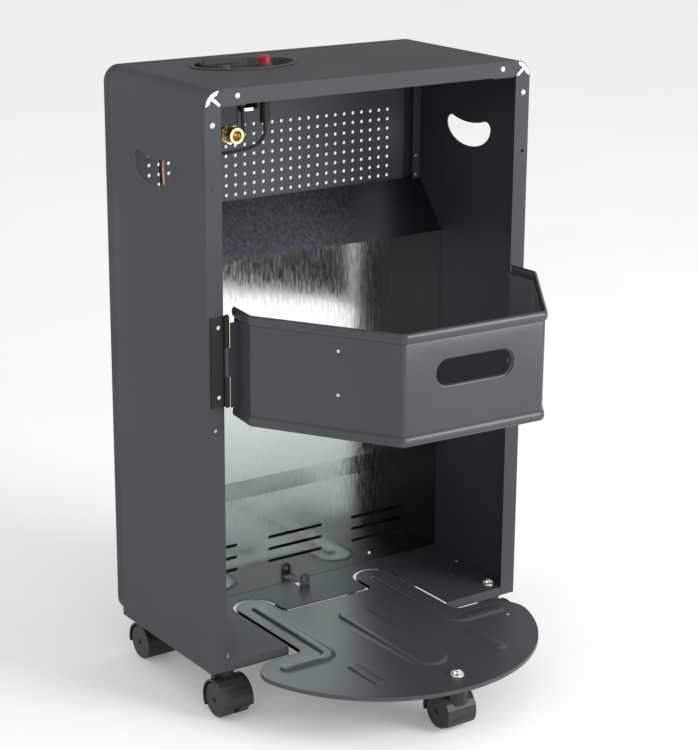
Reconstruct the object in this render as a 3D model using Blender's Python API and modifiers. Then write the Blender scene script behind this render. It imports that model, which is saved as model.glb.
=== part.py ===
"""Slim cabinet gas heater on castors, seen with its rear bottle bay open.

Every piece is modelled in cabinet coordinates: X across the heater, Y from the
rear opening (0) to the heating front, Z up from the underside of the casing.
One empty carries them all, and sets the world origin on the ground under the
middle of the heater.
"""
import math

import bmesh
import bpy
from mathutils import Matrix, Vector

# Driving dimensions, in metres
CASE_WIDTH = 0.422
CASE_DEPTH = 0.213
CASE_HEIGHT = 0.640
CASE_RADIUS = 0.018
SHEET = 0.0012
GAP = 0.0003
GROUND_DROP = 0.054
PLATE_REACH = 0.197

FRONT_DEPTH = 0.012
FLANGE_SIDE = 0.0195
FLANGE_TOP = 0.017
FLANGE_HOLES = ((0.2035, 0.538), (0.2020, 0.279))
FLOOR_TOP = 0.010

HANDLE_CENTRE_Y = 0.107
HANDLE_HALF_WIDTH = 0.041
HANDLE_LOW = 0.526
HANDLE_HIGH = 0.559

WINDOW_HALF_WIDTH = 0.176
WINDOW_LOW = 0.146
WINDOW_HIGH = 0.446
GRILLE_HALF_WIDTH = 0.172
GRILLE_LOW = 0.472
GRILLE_HIGH = 0.568
PANEL_HALF_WIDTH = 0.186
PANEL_LOW = 0.462
PANEL_HIGH = 0.628
PANEL_Y = 0.2032

SHIELD_Y = 0.1555
SHIELD_FOOT_Y = 0.1570
SHIELD_TOP_Y = 0.2018
SHIELD_LEVELS = (0.474, 0.416, 0.152, 0.129, FLOOR_TOP + GAP)
SLOT_LENGTH = 0.078
SLOT_HEIGHT = 0.004
SLOT_LEVELS = (0.0730, 0.0580, 0.0425)
SLOT_CENTRES = (-0.120, 0.0, 0.120)

HINGE_Y = 0.112
HINGE_Z = 0.002
HINGE_RADIUS = 0.003
EAR_X = 0.085
EAR_RADIUS = 0.022
VALLEY_Y = 0.083
TONGUE_HALF_WIDTH = EAR_X + EAR_RADIUS
TONGUE_GAP = 0.004
LOBE_Y = -0.022
LOBE_RADIUS = 0.035
PLATE_CENTRE_Y = -0.012
PLATE_RADIUS = PLATE_REACH + PLATE_CENTRE_Y
PLATE_LIP = 0.003
RIB_RISE = 0.0018

BAND_CENTRE = (0.008, 0.0026)
BAND_TURN = math.radians(-2.0)
BAND_HALF_WIDTHS = (0.180, 0.1835, 0.0885)
BAND_DEPTHS = (0.0, -0.040, -0.182)
BAND_LOW = 0.290
BAND_HIGH = 0.408
BAND_FOLD_RADIUS = 0.006
BEAD_RISE = 0.0025
BEAD_HEIGHT = 0.011
GRIP_LENGTH = 0.095
GRIP_HEIGHT = 0.028
GRIP_Z = 0.361

BARREL_X = -0.1895
BARREL_Y = -0.0032
BARREL_RADIUS = 0.0029
BARREL_PIN = 0.0013
LEAF_LOW = 0.305
LEAF_HIGH = 0.403

DISH_CENTRE = (-0.077, 0.140)
DISH_HALF = (0.065, 0.0425)
DISH_FLOOR = 0.631
DISH_WALL = 0.0015
VALVE_X = -0.105
VALVE_Y = 0.150
KNOB_RADIUS = 0.020
KNOB_LOW = 0.6365
KNOB_HIGH = 0.6470
BUTTON_X = -0.059
BUTTON_Y = 0.127
BUTTON_RADIUS = 0.007
BUTTON_HIGH = 0.650

BURNER_XS = (-0.098, 0.0, 0.098)
BURNER_NAMES = ("left", "centre", "right")
BURNER_WIDTH = 0.090
BURNER_LOW = 0.190
BURNER_HIGH = 0.400
MANIFOLD_Y = 0.168
MANIFOLD_Z = 0.148
PIPE_X = -0.165

CASTOR_TOP = FLOOR_TOP - SHEET - GAP
CASTOR_TRAIL = 0.012
WHEEL_RADIUS = 0.0205
WHEEL_INNER = 0.0036
WHEEL_OUTER = 0.0175
AXLE_RADIUS = 0.0025
AXLE_Z = WHEEL_RADIUS - GROUND_DROP - CASTOR_TOP
HOOD_RADIUS = 0.0236
HOOD_HALF_WIDTH = 0.0188
CASTOR_PLACES = (
    ("rear_left", -0.187, 0.018),
    ("rear_right", 0.187, 0.018),
    ("front_left", -0.180, 0.175),
    ("front_right", 0.180, 0.175),
    ("plate", 0.0, -0.164),
)

PLANES = {
    "XY": Matrix(((1, 0, 0), (0, 1, 0), (0, 0, 1))),
    "XZ": Matrix(((1, 0, 0), (0, 0, -1), (0, 1, 0))),
    "YZ": Matrix(((0, 0, 1), (1, 0, 0), (0, 1, 0))),
}
NORMALS = {"XY": Vector((0, 0, 1)), "XZ": Vector((0, 1, 0)), "YZ": Vector((1, 0, 0))}

# name: colour, roughness, metallic
FINISHES = {
    "powder_coat": ((0.080, 0.092, 0.104), 0.50, 0.0),
    "powder_coat_dark": ((0.040, 0.046, 0.053), 0.55, 0.0),
    "galvanised": ((0.62, 0.65, 0.66), 0.30, 1.0),
    "zinc": ((0.80, 0.80, 0.78), 0.25, 1.0),
    "brass": ((0.80, 0.58, 0.24), 0.28, 1.0),
    "copper": ((0.82, 0.47, 0.32), 0.30, 1.0),
    "polished_steel": ((0.78, 0.78, 0.77), 0.15, 1.0),
    "black_plastic": ((0.022, 0.022, 0.022), 0.45, 0.0),
    "black_lead": ((0.015, 0.015, 0.015), 0.60, 0.0),
    "red_plastic": ((0.55, 0.02, 0.03), 0.35, 0.0),
    "ceramic": ((0.82, 0.76, 0.66), 0.85, 0.0),
    "blackened_steel": ((0.030, 0.030, 0.032), 0.45, 0.6),
}


# ---------------------------------------------------------------- outlines
def arc(centre, radius, start, end, steps):
    """Points on a circle from start to end, in degrees."""
    points = []
    for step in range(steps + 1):
        angle = math.radians(start + (end - start) * step / steps)
        points.append((centre[0] + radius * math.cos(angle), centre[1] + radius * math.sin(angle)))
    return points


def rounded_box(x_low, x_high, y_low, y_high, radius, steps=5):
    points = arc((x_high - radius, y_low + radius), radius, -90, 0, steps)
    points += arc((x_high - radius, y_high - radius), radius, 0, 90, steps)
    points += arc((x_low + radius, y_high - radius), radius, 90, 180, steps)
    points += arc((x_low + radius, y_low + radius), radius, 180, 270, steps)
    return points


def stadium(centre, length, height, steps=4):
    half = (length - height) / 2
    right = arc((centre[0] + half, centre[1]), height / 2, -90, 90, steps)
    left = arc((centre[0] - half, centre[1]), height / 2, 90, 270, steps)
    return right + left


def circle(centre, radius, steps=12):
    return arc(centre, radius, 0, 360, steps)[:-1]


def ellipse(centre, halves, steps=22):
    unit = circle((0, 0), 1, steps)
    return [(centre[0] + halves[0] * x, centre[1] + halves[1] * y) for x, y in unit]


def arch(inset, foot):
    """The casing's outline: two sides and a top with rounded corners."""
    half = CASE_WIDTH / 2 - inset
    top = CASE_HEIGHT - inset
    radius = CASE_RADIUS - inset
    right = arc((half - radius, top - radius), radius, 0, 90, 6)
    left = arc((radius - half, top - radius), radius, 90, 180, 6)
    return [(half, foot)] + right + left + [(-half, foot)]


def mirrored(half_outline):
    """A closed outline from its right half, which leaves out the points on the axis."""
    return half_outline + [(-x, y) for x, y in reversed(half_outline)]


def base_plate_outline():
    fillet = 0.008
    inner_x = EAR_X - EAR_RADIUS
    corner_y = LOBE_Y - LOBE_RADIUS
    corner_x = math.sqrt((PLATE_RADIUS - LOBE_RADIUS) ** 2 - (corner_y - PLATE_CENTRE_Y) ** 2)
    meet = math.degrees(math.atan2(corner_y - PLATE_CENTRE_Y, corner_x))
    half = arc((inner_x - fillet, VALLEY_Y + fillet), fillet, -90, 0, 3)
    half += arc((EAR_X, HINGE_Y), EAR_RADIUS, 180, 0, 8)
    half += arc((TONGUE_HALF_WIDTH + fillet, LOBE_Y + fillet), fillet, 180, 270, 3)
    half += arc((corner_x, corner_y), LOBE_RADIUS, 90, meet, 5)
    half += arc((0.0, PLATE_CENTRE_Y), PLATE_RADIUS, meet, -90, 11)[1:-1]
    half += [(0.010, -PLATE_REACH)]
    return mirrored(half)


def floor_outline():
    """The fixed floor, open at the rear around the folding plate's tongue."""
    side = CASE_WIDTH / 2 - SHEET - GAP
    rear_side = CASE_WIDTH / 2 - FLANGE_SIDE - GAP
    front = CASE_DEPTH - FRONT_DEPTH
    cut_x = TONGUE_HALF_WIDTH + TONGUE_GAP
    cut_radius = EAR_RADIUS + TONGUE_GAP
    nose_x = EAR_X - cut_radius
    nose_fillet = 0.008
    half = arc((nose_x - nose_fillet, VALLEY_Y + TONGUE_GAP + nose_fillet), nose_fillet, -90, 0, 3)
    half += arc((EAR_X, HINGE_Y), cut_radius, 180, 0, 8)
    half += [(cut_x, 0.0), (rear_side, 0.0), (rear_side, SHEET + 2 * GAP), (side, SHEET + 2 * GAP)]
    half += [(side, front)]
    return mirrored(half)


def band_path(offset=0.0):
    """The band's outline in plan, left end to right end, pushed outwards by offset."""
    corners = [Vector((-half, depth)) for half, depth in zip(BAND_HALF_WIDTHS, BAND_DEPTHS)]
    corners += [Vector((-corner.x, corner.y)) for corner in reversed(corners)]
    points = []
    for index, corner in enumerate(corners):
        before = (corner - corners[index - 1]).normalized() if index else None
        after = (corners[index + 1] - corner).normalized() if index < 5 else None
        if before is None or after is None:
            along = after or before
            points.append(corner + Vector((along.y, -along.x)) * offset)
            continue
        turn = before.angle(after)
        reach = BAND_FOLD_RADIUS * math.tan(turn / 2)
        first = corner - before * reach
        centre = first + Vector((-before.y, before.x)) * BAND_FOLD_RADIUS
        spoke = Vector((before.y, -before.x)) * (BAND_FOLD_RADIUS + offset)
        for step in range(3):
            points.append(centre + Matrix.Rotation(turn * step / 2, 2) @ spoke)
    placed = Matrix.Rotation(BAND_TURN, 2)
    return [placed @ point + Vector(BAND_CENTRE) for point in points]


# ---------------------------------------------------------------- building
def clear_scene():
    for item in list(bpy.data.objects):
        bpy.data.objects.remove(item, do_unlink=True)


def new_collection(name):
    collection = bpy.data.collections.new(name)
    bpy.context.scene.collection.children.link(collection)
    return collection


def new_material(piece_name, finish):
    colour, roughness, metallic = FINISHES[finish]
    made = bpy.data.materials.new(piece_name)
    made.use_nodes = True
    shader = made.node_tree.nodes["Principled BSDF"]
    shader.inputs["Base Color"].default_value = (*colour, 1.0)
    shader.inputs["Roughness"].default_value = roughness
    shader.inputs["Metallic"].default_value = metallic
    made.diffuse_color = (*colour, 1.0)
    return made


def add_object(name, mesh):
    made = bpy.data.objects.new(name, mesh)
    CUTTERS.objects.link(made)
    return made


def piece(name, made, finish, origin=(0, 0, 0)):
    """Name a finished shape, give it its material and put its origin where it turns."""
    made.name = name
    made.data.name = name
    made.data.materials.clear()
    made.data.materials.append(new_material(name, finish))
    made.data.transform(Matrix.Translation(-Vector(origin)) @ made.matrix_basis)
    made.matrix_basis = Matrix.Translation(origin)
    made.parent = CABINET
    CUTTERS.objects.unlink(made)
    PARTS.objects.link(made)
    made.data.shade_smooth()
    made.data.set_sharp_from_angle(angle=math.radians(35))
    return made


def baked(made):
    """The object's evaluated mesh, welded, on a new object in the same place."""
    graph = bpy.context.evaluated_depsgraph_get()
    mesh = bpy.data.meshes.new_from_object(made.evaluated_get(graph))
    work = bmesh.new()
    work.from_mesh(mesh)
    bmesh.ops.remove_doubles(work, verts=work.verts, dist=0.00001)
    bmesh.ops.recalc_face_normals(work, faces=work.faces)
    work.to_mesh(mesh)
    work.free()
    solid = add_object(made.name + "_solid", mesh)
    solid.matrix_world = made.matrix_world
    bpy.data.objects.remove(made, do_unlink=True)
    return solid


def slab(loops, low, high, plane):
    """Closed outlines, the first with the others as holes, extruded from low to high."""
    curve = bpy.data.curves.new("outline", "CURVE")
    curve.dimensions = "2D"
    curve.fill_mode = "BOTH"
    curve.extrude = (high - low) / 2
    for loop in loops:
        spline = curve.splines.new("POLY")
        spline.points.add(len(loop) - 1)
        for point, place in zip(spline.points, loop):
            point.co = (place[0], place[1], 0.0, 1.0)
        spline.use_cyclic_u = True
    made = add_object("outline", curve)
    centre = NORMALS[plane] * ((low + high) / 2)
    made.matrix_world = Matrix.Translation(centre) @ PLANES[plane].to_4x4()
    bpy.context.view_layer.update()
    return baked(made)


def box(low, high):
    size = Vector(high) - Vector(low)
    middle = (Vector(high) + Vector(low)) / 2
    mesh = bpy.data.meshes.new("box")
    work = bmesh.new()
    bmesh.ops.create_cube(work, size=1.0, matrix=Matrix.Translation(middle) @ Matrix.Diagonal((*size, 1.0)))
    work.to_mesh(mesh)
    work.free()
    return add_object("box", mesh)


def rod(start, end, radius, sides=12, end_radius=None):
    """A straight round bar, or a cone, between two points."""
    start = Vector(start)
    span = Vector(end) - start
    place = Matrix.Translation(start + span / 2) @ span.to_track_quat("Z", "Y").to_matrix().to_4x4()
    mesh = bpy.data.meshes.new("rod")
    work = bmesh.new()
    bmesh.ops.create_cone(
        work, cap_ends=True, segments=sides, radius1=radius, depth=span.length, matrix=place,
        radius2=radius if end_radius is None else end_radius,
    )
    work.to_mesh(mesh)
    work.free()
    return add_object("rod", mesh)


def turned(profile, steps, closed=False, turn=None):
    """A profile of (radius, height) points, top to bottom down its outer side, turned about Z."""
    mesh = bpy.data.meshes.new("turned")
    work = bmesh.new()
    corners = [work.verts.new((radius, 0.0, height)) for radius, height in profile]
    for first, second in zip(corners, corners[1:]):
        work.edges.new((first, second))
    if closed:
        work.edges.new((corners[-1], corners[0]))
    work.to_mesh(mesh)
    work.free()
    made = add_object("turned", mesh)
    screw = made.modifiers.new("turn", "SCREW")
    screw.steps = steps
    screw.render_steps = steps
    screw.use_merge_vertices = True
    screw.merge_threshold = 0.00001
    bpy.context.view_layer.update()
    solid = baked(made)
    if turn is not None:
        solid.data.transform(turn)
    return solid


def tube(points, radius, resolution=2, ring=False):
    """A wire, lead or pipe through the given points, or a closed ring of wire."""
    curve = bpy.data.curves.new("wire", "CURVE")
    curve.dimensions = "3D"
    curve.bevel_depth = radius
    curve.bevel_resolution = resolution
    curve.use_fill_caps = True
    spline = curve.splines.new("POLY")
    spline.points.add(len(points) - 1)
    for point, place in zip(spline.points, points):
        point.co = (*place, 1.0)
    spline.use_cyclic_u = ring
    made = add_object("wire", curve)
    bpy.context.view_layer.update()
    return baked(made)


def smooth_route(points, steps=4):
    """Points on a smooth curve through the given ones."""
    ends = [Vector(points[0])] + [Vector(point) for point in points] + [Vector(points[-1])]
    route = []
    for first, second, third, fourth in zip(ends, ends[1:], ends[2:], ends[3:]):
        for step in range(steps):
            t = step / steps
            bend = (third - first) * t + (2 * first - 5 * second + 4 * third - fourth) * t * t
            bend += (3 * second - first - 3 * third + fourth) * t ** 3
            route.append(second + bend / 2)
    route.append(Vector(points[-1]))
    return route


def lofted(rows, closed, thickness, offset):
    """A sheet stretched over rows of points, then given its thickness."""
    mesh = bpy.data.meshes.new("sheet")
    work = bmesh.new()
    grid = [[work.verts.new(point) for point in row] for row in rows]
    count = len(rows[0])
    for lower, upper in zip(grid, grid[1:]):
        for index in range(count if closed else count - 1):
            after = (index + 1) % count
            work.faces.new((lower[index], lower[after], upper[after], upper[index]))
    work.to_mesh(mesh)
    work.free()
    made = add_object("sheet", mesh)
    solidify = made.modifiers.new("thickness", "SOLIDIFY")
    solidify.thickness = thickness
    solidify.offset = offset
    solidify.use_even_offset = True
    bpy.context.view_layer.update()
    return baked(made)


def combine(made, other, operation):
    """Cut the other shape out of this one, or join it on, and keep the other as a guide."""
    modifier = made.modifiers.new(operation.lower(), "BOOLEAN")
    modifier.object = other
    modifier.operation = operation
    modifier.solver = "EXACT"
    other.name = "guide"
    other.hide_render = True
    other.display_type = "WIRE"
    other.parent = CABINET
    made.parent = CABINET
    return made


def cut(made, *others):
    for other in others:
        combine(made, other, "DIFFERENCE")
    return made


def join(made, *others):
    for other in others:
        combine(made, other, "UNION")
    return made


# ---------------------------------------------------------------- casing
def handle_outline():
    """The bean-shaped carry hole: a round lower edge and a slightly dished upper one."""
    corner = 0.009
    left = HANDLE_CENTRE_Y - HANDLE_HALF_WIDTH
    right = HANDLE_CENTRE_Y + HANDLE_HALF_WIDTH
    dip = 0.005
    lower = []
    for step in range(13):
        angle = math.pi * step / 12
        rise = (HANDLE_HIGH - corner - HANDLE_LOW) * math.sin(angle)
        lower.append((HANDLE_CENTRE_Y - HANDLE_HALF_WIDTH * math.cos(angle), HANDLE_HIGH - corner - rise))
    upper = arc((right - corner, HANDLE_HIGH - corner), corner, 0, 100, 4)[1:]
    for step in range(1, 6):
        across = 1 - step / 3
        upper.append((HANDLE_CENTRE_Y + (right - corner - HANDLE_CENTRE_Y) * across,
                      HANDLE_HIGH - dip * (1 - across * across)))
    upper += arc((left + corner, HANDLE_HIGH - corner), corner, 80, 180, 4)[:-1]
    return lower + upper


def build_casing():
    front = CASE_DEPTH - FRONT_DEPTH - GAP
    shell = slab([arch(0.0, 0.0)], 0.0, front, "XZ")
    cavity = slab([arch(SHEET, -0.02)], SHEET, front + 0.01, "XZ")
    opening_x = CASE_WIDTH / 2 - FLANGE_SIDE
    opening = box((-opening_x, -0.01, -0.02), (opening_x, 0.01, CASE_HEIGHT - FLANGE_TOP))
    carry = slab([handle_outline()], -0.25, 0.25, "YZ")
    dish_hole = slab([ellipse(DISH_CENTRE, (DISH_HALF[0] - 0.003, DISH_HALF[1] - 0.003))], 0.62, 0.66, "XY")
    cut(shell, cavity, opening, carry, dish_hole)
    for side in (-1, 1):
        for x, z in FLANGE_HOLES:
            cut(shell, rod((side * x, -0.01, z), (side * x, 0.01, z), 0.002, 8))
    piece("casing", shell, "powder_coat")


def build_corner_brackets():
    """Bright gussets behind the rear flange corners."""
    for side, name in ((-1, "left"), (1, "right")):
        outer = arc((CASE_WIDTH / 2 - CASE_RADIUS, CASE_HEIGHT - CASE_RADIUS), 0.0160, 0, 90, 5)
        arm = 0.048
        width = 0.0165
        right = outer[0][0]
        top = outer[-1][1]
        loop = [(right, top - arm)] + outer + [(right - arm, top), (right - arm, top - width)]
        loop += [(right - width, top - width), (right - width, top - arm)]
        gusset = slab([[(side * x, z) for x, z in loop]], SHEET + GAP, SHEET + GAP + 0.001, "XZ")
        piece("corner_bracket_" + name, gusset, "zinc")


def build_front_frame():
    half = CASE_WIDTH / 2
    rear = CASE_DEPTH - FRONT_DEPTH
    outline = rounded_box(-half, half, 0.0, CASE_HEIGHT, CASE_RADIUS, 8)
    window = rounded_box(-WINDOW_HALF_WIDTH, WINDOW_HALF_WIDTH, WINDOW_LOW, WINDOW_HIGH, 0.008, 4)
    grille = rounded_box(-GRILLE_HALF_WIDTH, GRILLE_HALF_WIDTH, GRILLE_LOW, GRILLE_HIGH, 0.008, 4)
    slots = [stadium((x, z), SLOT_LENGTH, 0.006, 2) for x in SLOT_CENTRES for z in SLOT_LEVELS]
    frame = slab([outline, window, grille] + slots, rear, CASE_DEPTH, "XZ")
    hollow = rounded_box(-half + SHEET, half - SHEET, SHEET, CASE_HEIGHT - SHEET, CASE_RADIUS - SHEET, 8)
    cut(frame, slab([hollow], rear - 0.005, CASE_DEPTH - SHEET, "XZ"))
    piece("front_frame", frame, "powder_coat_dark")


def build_perforated_panel():
    """The upper vent sheet, a shallow tray that stands on the front frame."""
    front = CASE_DEPTH - SHEET - GAP
    outline = rounded_box(-PANEL_HALF_WIDTH, PANEL_HALF_WIDTH, PANEL_LOW, PANEL_HIGH, 0.003, 1)
    tray = slab([outline], PANEL_Y, front, "XZ")
    inner = PANEL_HALF_WIDTH - SHEET
    hollow = box((-inner, PANEL_Y + SHEET, PANEL_LOW + SHEET), (inner, front + 0.01, PANEL_HIGH - SHEET))
    piece("perforated_panel", cut(tray, hollow), "powder_coat_dark")


def build_burner_shield():
    side = CASE_WIDTH / 2 - SHEET - GAP
    depths = (SHIELD_TOP_Y, SHIELD_Y, SHIELD_Y, SHIELD_FOOT_Y, SHIELD_FOOT_Y)
    rows = [[(-side, y, z), (side, y, z)] for y, z in zip(depths, SHIELD_LEVELS)]
    shield = lofted(rows, False, 0.0008, 0.0)
    for x in SLOT_CENTRES:
        for z in SLOT_LEVELS:
            cut(shield, slab([stadium((x, z), SLOT_LENGTH, SLOT_HEIGHT, 2)], 0.15, 0.17, "XZ"))
    cut(shield, rod((PIPE_X, MANIFOLD_Y, 0.40), (PIPE_X, MANIFOLD_Y, 0.46), 0.0042, 10))
    cut(shield, rod((PIPE_X + 0.020, MANIFOLD_Y, 0.40), (PIPE_X + 0.020, MANIFOLD_Y, 0.46), 0.0040, 10))
    piece("burner_shield", shield, "galvanised")


# ---------------------------------------------------------------- floor
def build_floor_plate():
    low = FLOOR_TOP - SHEET
    tab_y = 0.136
    floor = slab([floor_outline()], low, FLOOR_TOP, "XY")
    cut(floor, box((-0.007, tab_y + 0.0012, 0.0), (0.007, tab_y + 0.014, 0.02)))
    for name, x, y in CASTOR_PLACES[:-1]:
        cut(floor, rod((x, y, 0.0), (x, y, 0.02), 0.0046, 8))
    cut_x = TONGUE_HALF_WIDTH + TONGUE_GAP
    lip_x = CASE_WIDTH / 2 - FLANGE_SIDE - GAP
    for side in (-1, 1):
        ends = sorted((side * (cut_x + 0.0001), side * (lip_x - 0.0001)))
        join(floor, box((ends[0], 0.0001, -0.001), (ends[1], SHEET, low + 0.0005)))
        for near, far in ((0.044, 0.054), (cut_x + 0.002, cut_x + 0.009)):
            ends = sorted((side * near, side * far))
            join(floor, box((ends[0], HINGE_Y - 0.006, -0.003), (ends[1], HINGE_Y + 0.006, low + 0.0005)))
        rib = stadium((0.091, side * 0.168), 0.058, 0.009, 2)
        rib = [(y, x) for x, y in rib]
        join(floor, slab([rib], FLOOR_TOP - 0.0005, FLOOR_TOP + RIB_RISE, "XY"))
    tab = arc((0.0, 0.0185), 0.007, 0, 180, 5) + [(-0.007, FLOOR_TOP - 0.0006), (0.007, FLOOR_TOP - 0.0006)]
    join(floor, slab([tab, circle((0.0, 0.0185), 0.0028, 8)], tab_y - 0.0006, tab_y + 0.0006, "XZ"))
    reach = cut_x + 0.02
    cut(floor, rod((-reach, HINGE_Y, HINGE_Z), (reach, HINGE_Y, HINGE_Z), HINGE_RADIUS + GAP, 12))
    piece("floor_plate", floor, "powder_coat_dark")
    reach = cut_x + 0.011
    spindle = rod((-reach, HINGE_Y, HINGE_Z), (reach, HINGE_Y, HINGE_Z), HINGE_RADIUS, 12)
    piece("floor_hinge_rod", spindle, "zinc")


def base_plate_ribs():
    """Raised ribs: an elbow on each side, a short bar on each side and one long central pad."""
    low = FLOOR_TOP - 0.0005
    high = FLOOR_TOP + RIB_RISE
    ribs = [slab([[(x, y) for y, x in stadium((-0.0425, 0.0), 0.175, 0.036, 4)]], low, high, "XY")]
    half = 0.0045
    turn = 0.010
    for side in (-1, 1):
        elbow = arc((EAR_X, 0.105), half, 180, 0, 2)
        elbow += arc((EAR_X + half + turn, -0.049 + half + turn - 0.001), turn, 180, 270, 3)
        elbow += arc((0.146, -0.050), half, 90, -90, 2)
        elbow += arc((EAR_X - half + 0.019, -0.0545 + 0.019), 0.019, 270, 180, 3)
        ribs.append(slab([[(side * x, y) for x, y in elbow]], low, high, "XY"))
        bar = stadium((-0.110, side * 0.083), 0.055, 2 * half, 2)
        ribs.append(slab([[(x, y) for y, x in bar]], low, high, "XY"))
    return ribs


def build_base_plate():
    outline = base_plate_outline()
    plate = slab([outline], FLOOR_TOP - SHEET - PLATE_LIP, FLOOR_TOP, "XY")
    inner = inset_outline(outline, SHEET)
    hollow = slab([inner], FLOOR_TOP - SHEET - PLATE_LIP - 0.005, FLOOR_TOP - SHEET, "XY")
    cut(plate, hollow)
    join(plate, *base_plate_ribs())
    for side in (-1, 1):
        ends = sorted((side * (EAR_X - 0.010), side * (EAR_X + 0.010)))
        lug = box((ends[0], HINGE_Y - 0.006, -0.003), (ends[1], HINGE_Y + 0.006, FLOOR_TOP - 0.0005))
        join(plate, lug)
    reach = TONGUE_HALF_WIDTH + 0.005
    cut(plate, rod((-reach, HINGE_Y, HINGE_Z), (reach, HINGE_Y, HINGE_Z), HINGE_RADIUS + GAP, 12))
    place = CASTOR_PLACES[-1]
    cut(plate, rod((place[1], place[2], 0.0), (place[1], place[2], 0.02), 0.0046, 10))
    piece("base_plate", plate, "powder_coat", (0.0, HINGE_Y, HINGE_Z))


def inset_outline(outline, distance):
    """The outline moved inwards by a distance, along the bisector at each corner."""
    count = len(outline)
    corners = [Vector(point) for point in outline]
    area = sum(corners[i - 1].cross(corners[i]) for i in range(count))
    inward = 1 if area > 0 else -1
    moved = []
    for index, corner in enumerate(corners):
        before = (corner - corners[index - 1]).normalized()
        after = (corners[(index + 1) % count] - corner).normalized()
        normals = [Vector((-side.y, side.x)) * inward for side in (before, after)]
        bisector = (normals[0] + normals[1]).normalized()
        moved.append(corner + bisector * (distance / bisector.dot(normals[0])))
    return moved


# ---------------------------------------------------------------- bottle retainer
def build_retainer_band():
    levels = (
        (0.0004, BAND_LOW), (BEAD_RISE, BAND_LOW + 0.0025), (BEAD_RISE, BAND_LOW + BEAD_HEIGHT - 0.004),
        (0.0, BAND_LOW + BEAD_HEIGHT), (0.0, BAND_HIGH - BEAD_HEIGHT),
        (BEAD_RISE, BAND_HIGH - BEAD_HEIGHT + 0.004), (BEAD_RISE, BAND_HIGH - 0.0025), (0.0004, BAND_HIGH),
    )
    rows = [[(*point, z) for point in band_path(offset)] for offset, z in levels]
    band = lofted(rows, False, SHEET, -1.0)
    grip = slab([stadium((0.0, 0.0), GRIP_LENGTH, GRIP_HEIGHT, 5)], -0.02, 0.02, "XZ")
    turn = Matrix.Rotation(BAND_TURN, 4, "Z")
    panel = turn @ Vector((0.0, BAND_DEPTHS[2], 0.0)) + Vector((*BAND_CENTRE, GRIP_Z))
    grip.data.transform(Matrix.Translation(panel) @ turn @ grip.matrix_basis)
    grip.matrix_basis = Matrix.Identity(4)
    piece("retainer_band", cut(band, grip), "powder_coat", (BARREL_X, BARREL_Y, GRIP_Z))


def knuckle(low, high):
    return rod((BARREL_X, BARREL_Y, low), (BARREL_X, BARREL_Y, high), BARREL_RADIUS, 12)


def build_band_hinge():
    third = (LEAF_HIGH - LEAF_LOW) / 3
    bore_radius = BARREL_PIN + GAP
    leaf = box((-0.2075, -GAP - SHEET, LEAF_LOW), (BARREL_X + 0.0005, -GAP - 0.00002, LEAF_HIGH))
    window = box((BARREL_X - BARREL_RADIUS, -0.01, LEAF_LOW + third - GAP),
                 (BARREL_X + 0.01, 0.01, LEAF_HIGH - third + GAP))
    cut(leaf, window)
    join(leaf, knuckle(LEAF_LOW + 0.0001, LEAF_LOW + third - GAP))
    join(leaf, knuckle(LEAF_HIGH - third + GAP, LEAF_HIGH - 0.0001))
    bore = rod((BARREL_X, BARREL_Y, LEAF_LOW - 0.01), (BARREL_X, BARREL_Y, LEAF_HIGH + 0.01), bore_radius, 10)
    piece("hinge_leaf_fixed", cut(leaf, bore), "blackened_steel")

    end, fold = band_path()[0], band_path()[1]
    along = (fold - end).normalized()
    outward = Vector((along.y, -along.x))
    skin = outward * GAP
    back = outward * (GAP + SHEET)
    wrist_y = BARREL_Y - 0.0012
    start = end + along * ((end.y - wrist_y) / -along.y)
    finish = end + along * 0.034
    low = BAND_LOW + BEAD_HEIGHT + 0.003
    high = BAND_HIGH - BEAD_HEIGHT - GAP
    loop = [start + skin, finish + skin, finish + back, start + back - Vector((0.0, SHEET)),
            Vector((BARREL_X, wrist_y - SHEET)), Vector((BARREL_X, wrist_y))]
    strap = slab([[tuple(point) for point in loop]], low, high, "XY")
    notch_x = BARREL_X + BARREL_RADIUS + GAP
    for ends in ((low - 0.001, LEAF_LOW + third + GAP), (LEAF_HIGH - third - GAP, high + 0.001)):
        cut(strap, box((BARREL_X - 0.005, -0.012, ends[0]), (notch_x, 0.005, ends[1])))
    join(strap, knuckle(LEAF_LOW + third + GAP, LEAF_HIGH - third - GAP))
    bore = rod((BARREL_X, BARREL_Y, low), (BARREL_X, BARREL_Y, high), bore_radius, 10)
    piece("hinge_leaf_moving", cut(strap, bore), "blackened_steel", (BARREL_X, BARREL_Y, GRIP_Z))

    pin = turned([(0.0, 0.0022), (0.0022, 0.0022), (0.0022, 0.0003), (BARREL_PIN, 0.0003),
                  (BARREL_PIN, LEAF_LOW - LEAF_HIGH - 0.001), (0.0, LEAF_LOW - LEAF_HIGH - 0.001)], 10,
                 turn=Matrix.Translation((BARREL_X, BARREL_Y, LEAF_HIGH)))
    piece("hinge_pin", pin, "zinc")


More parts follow.
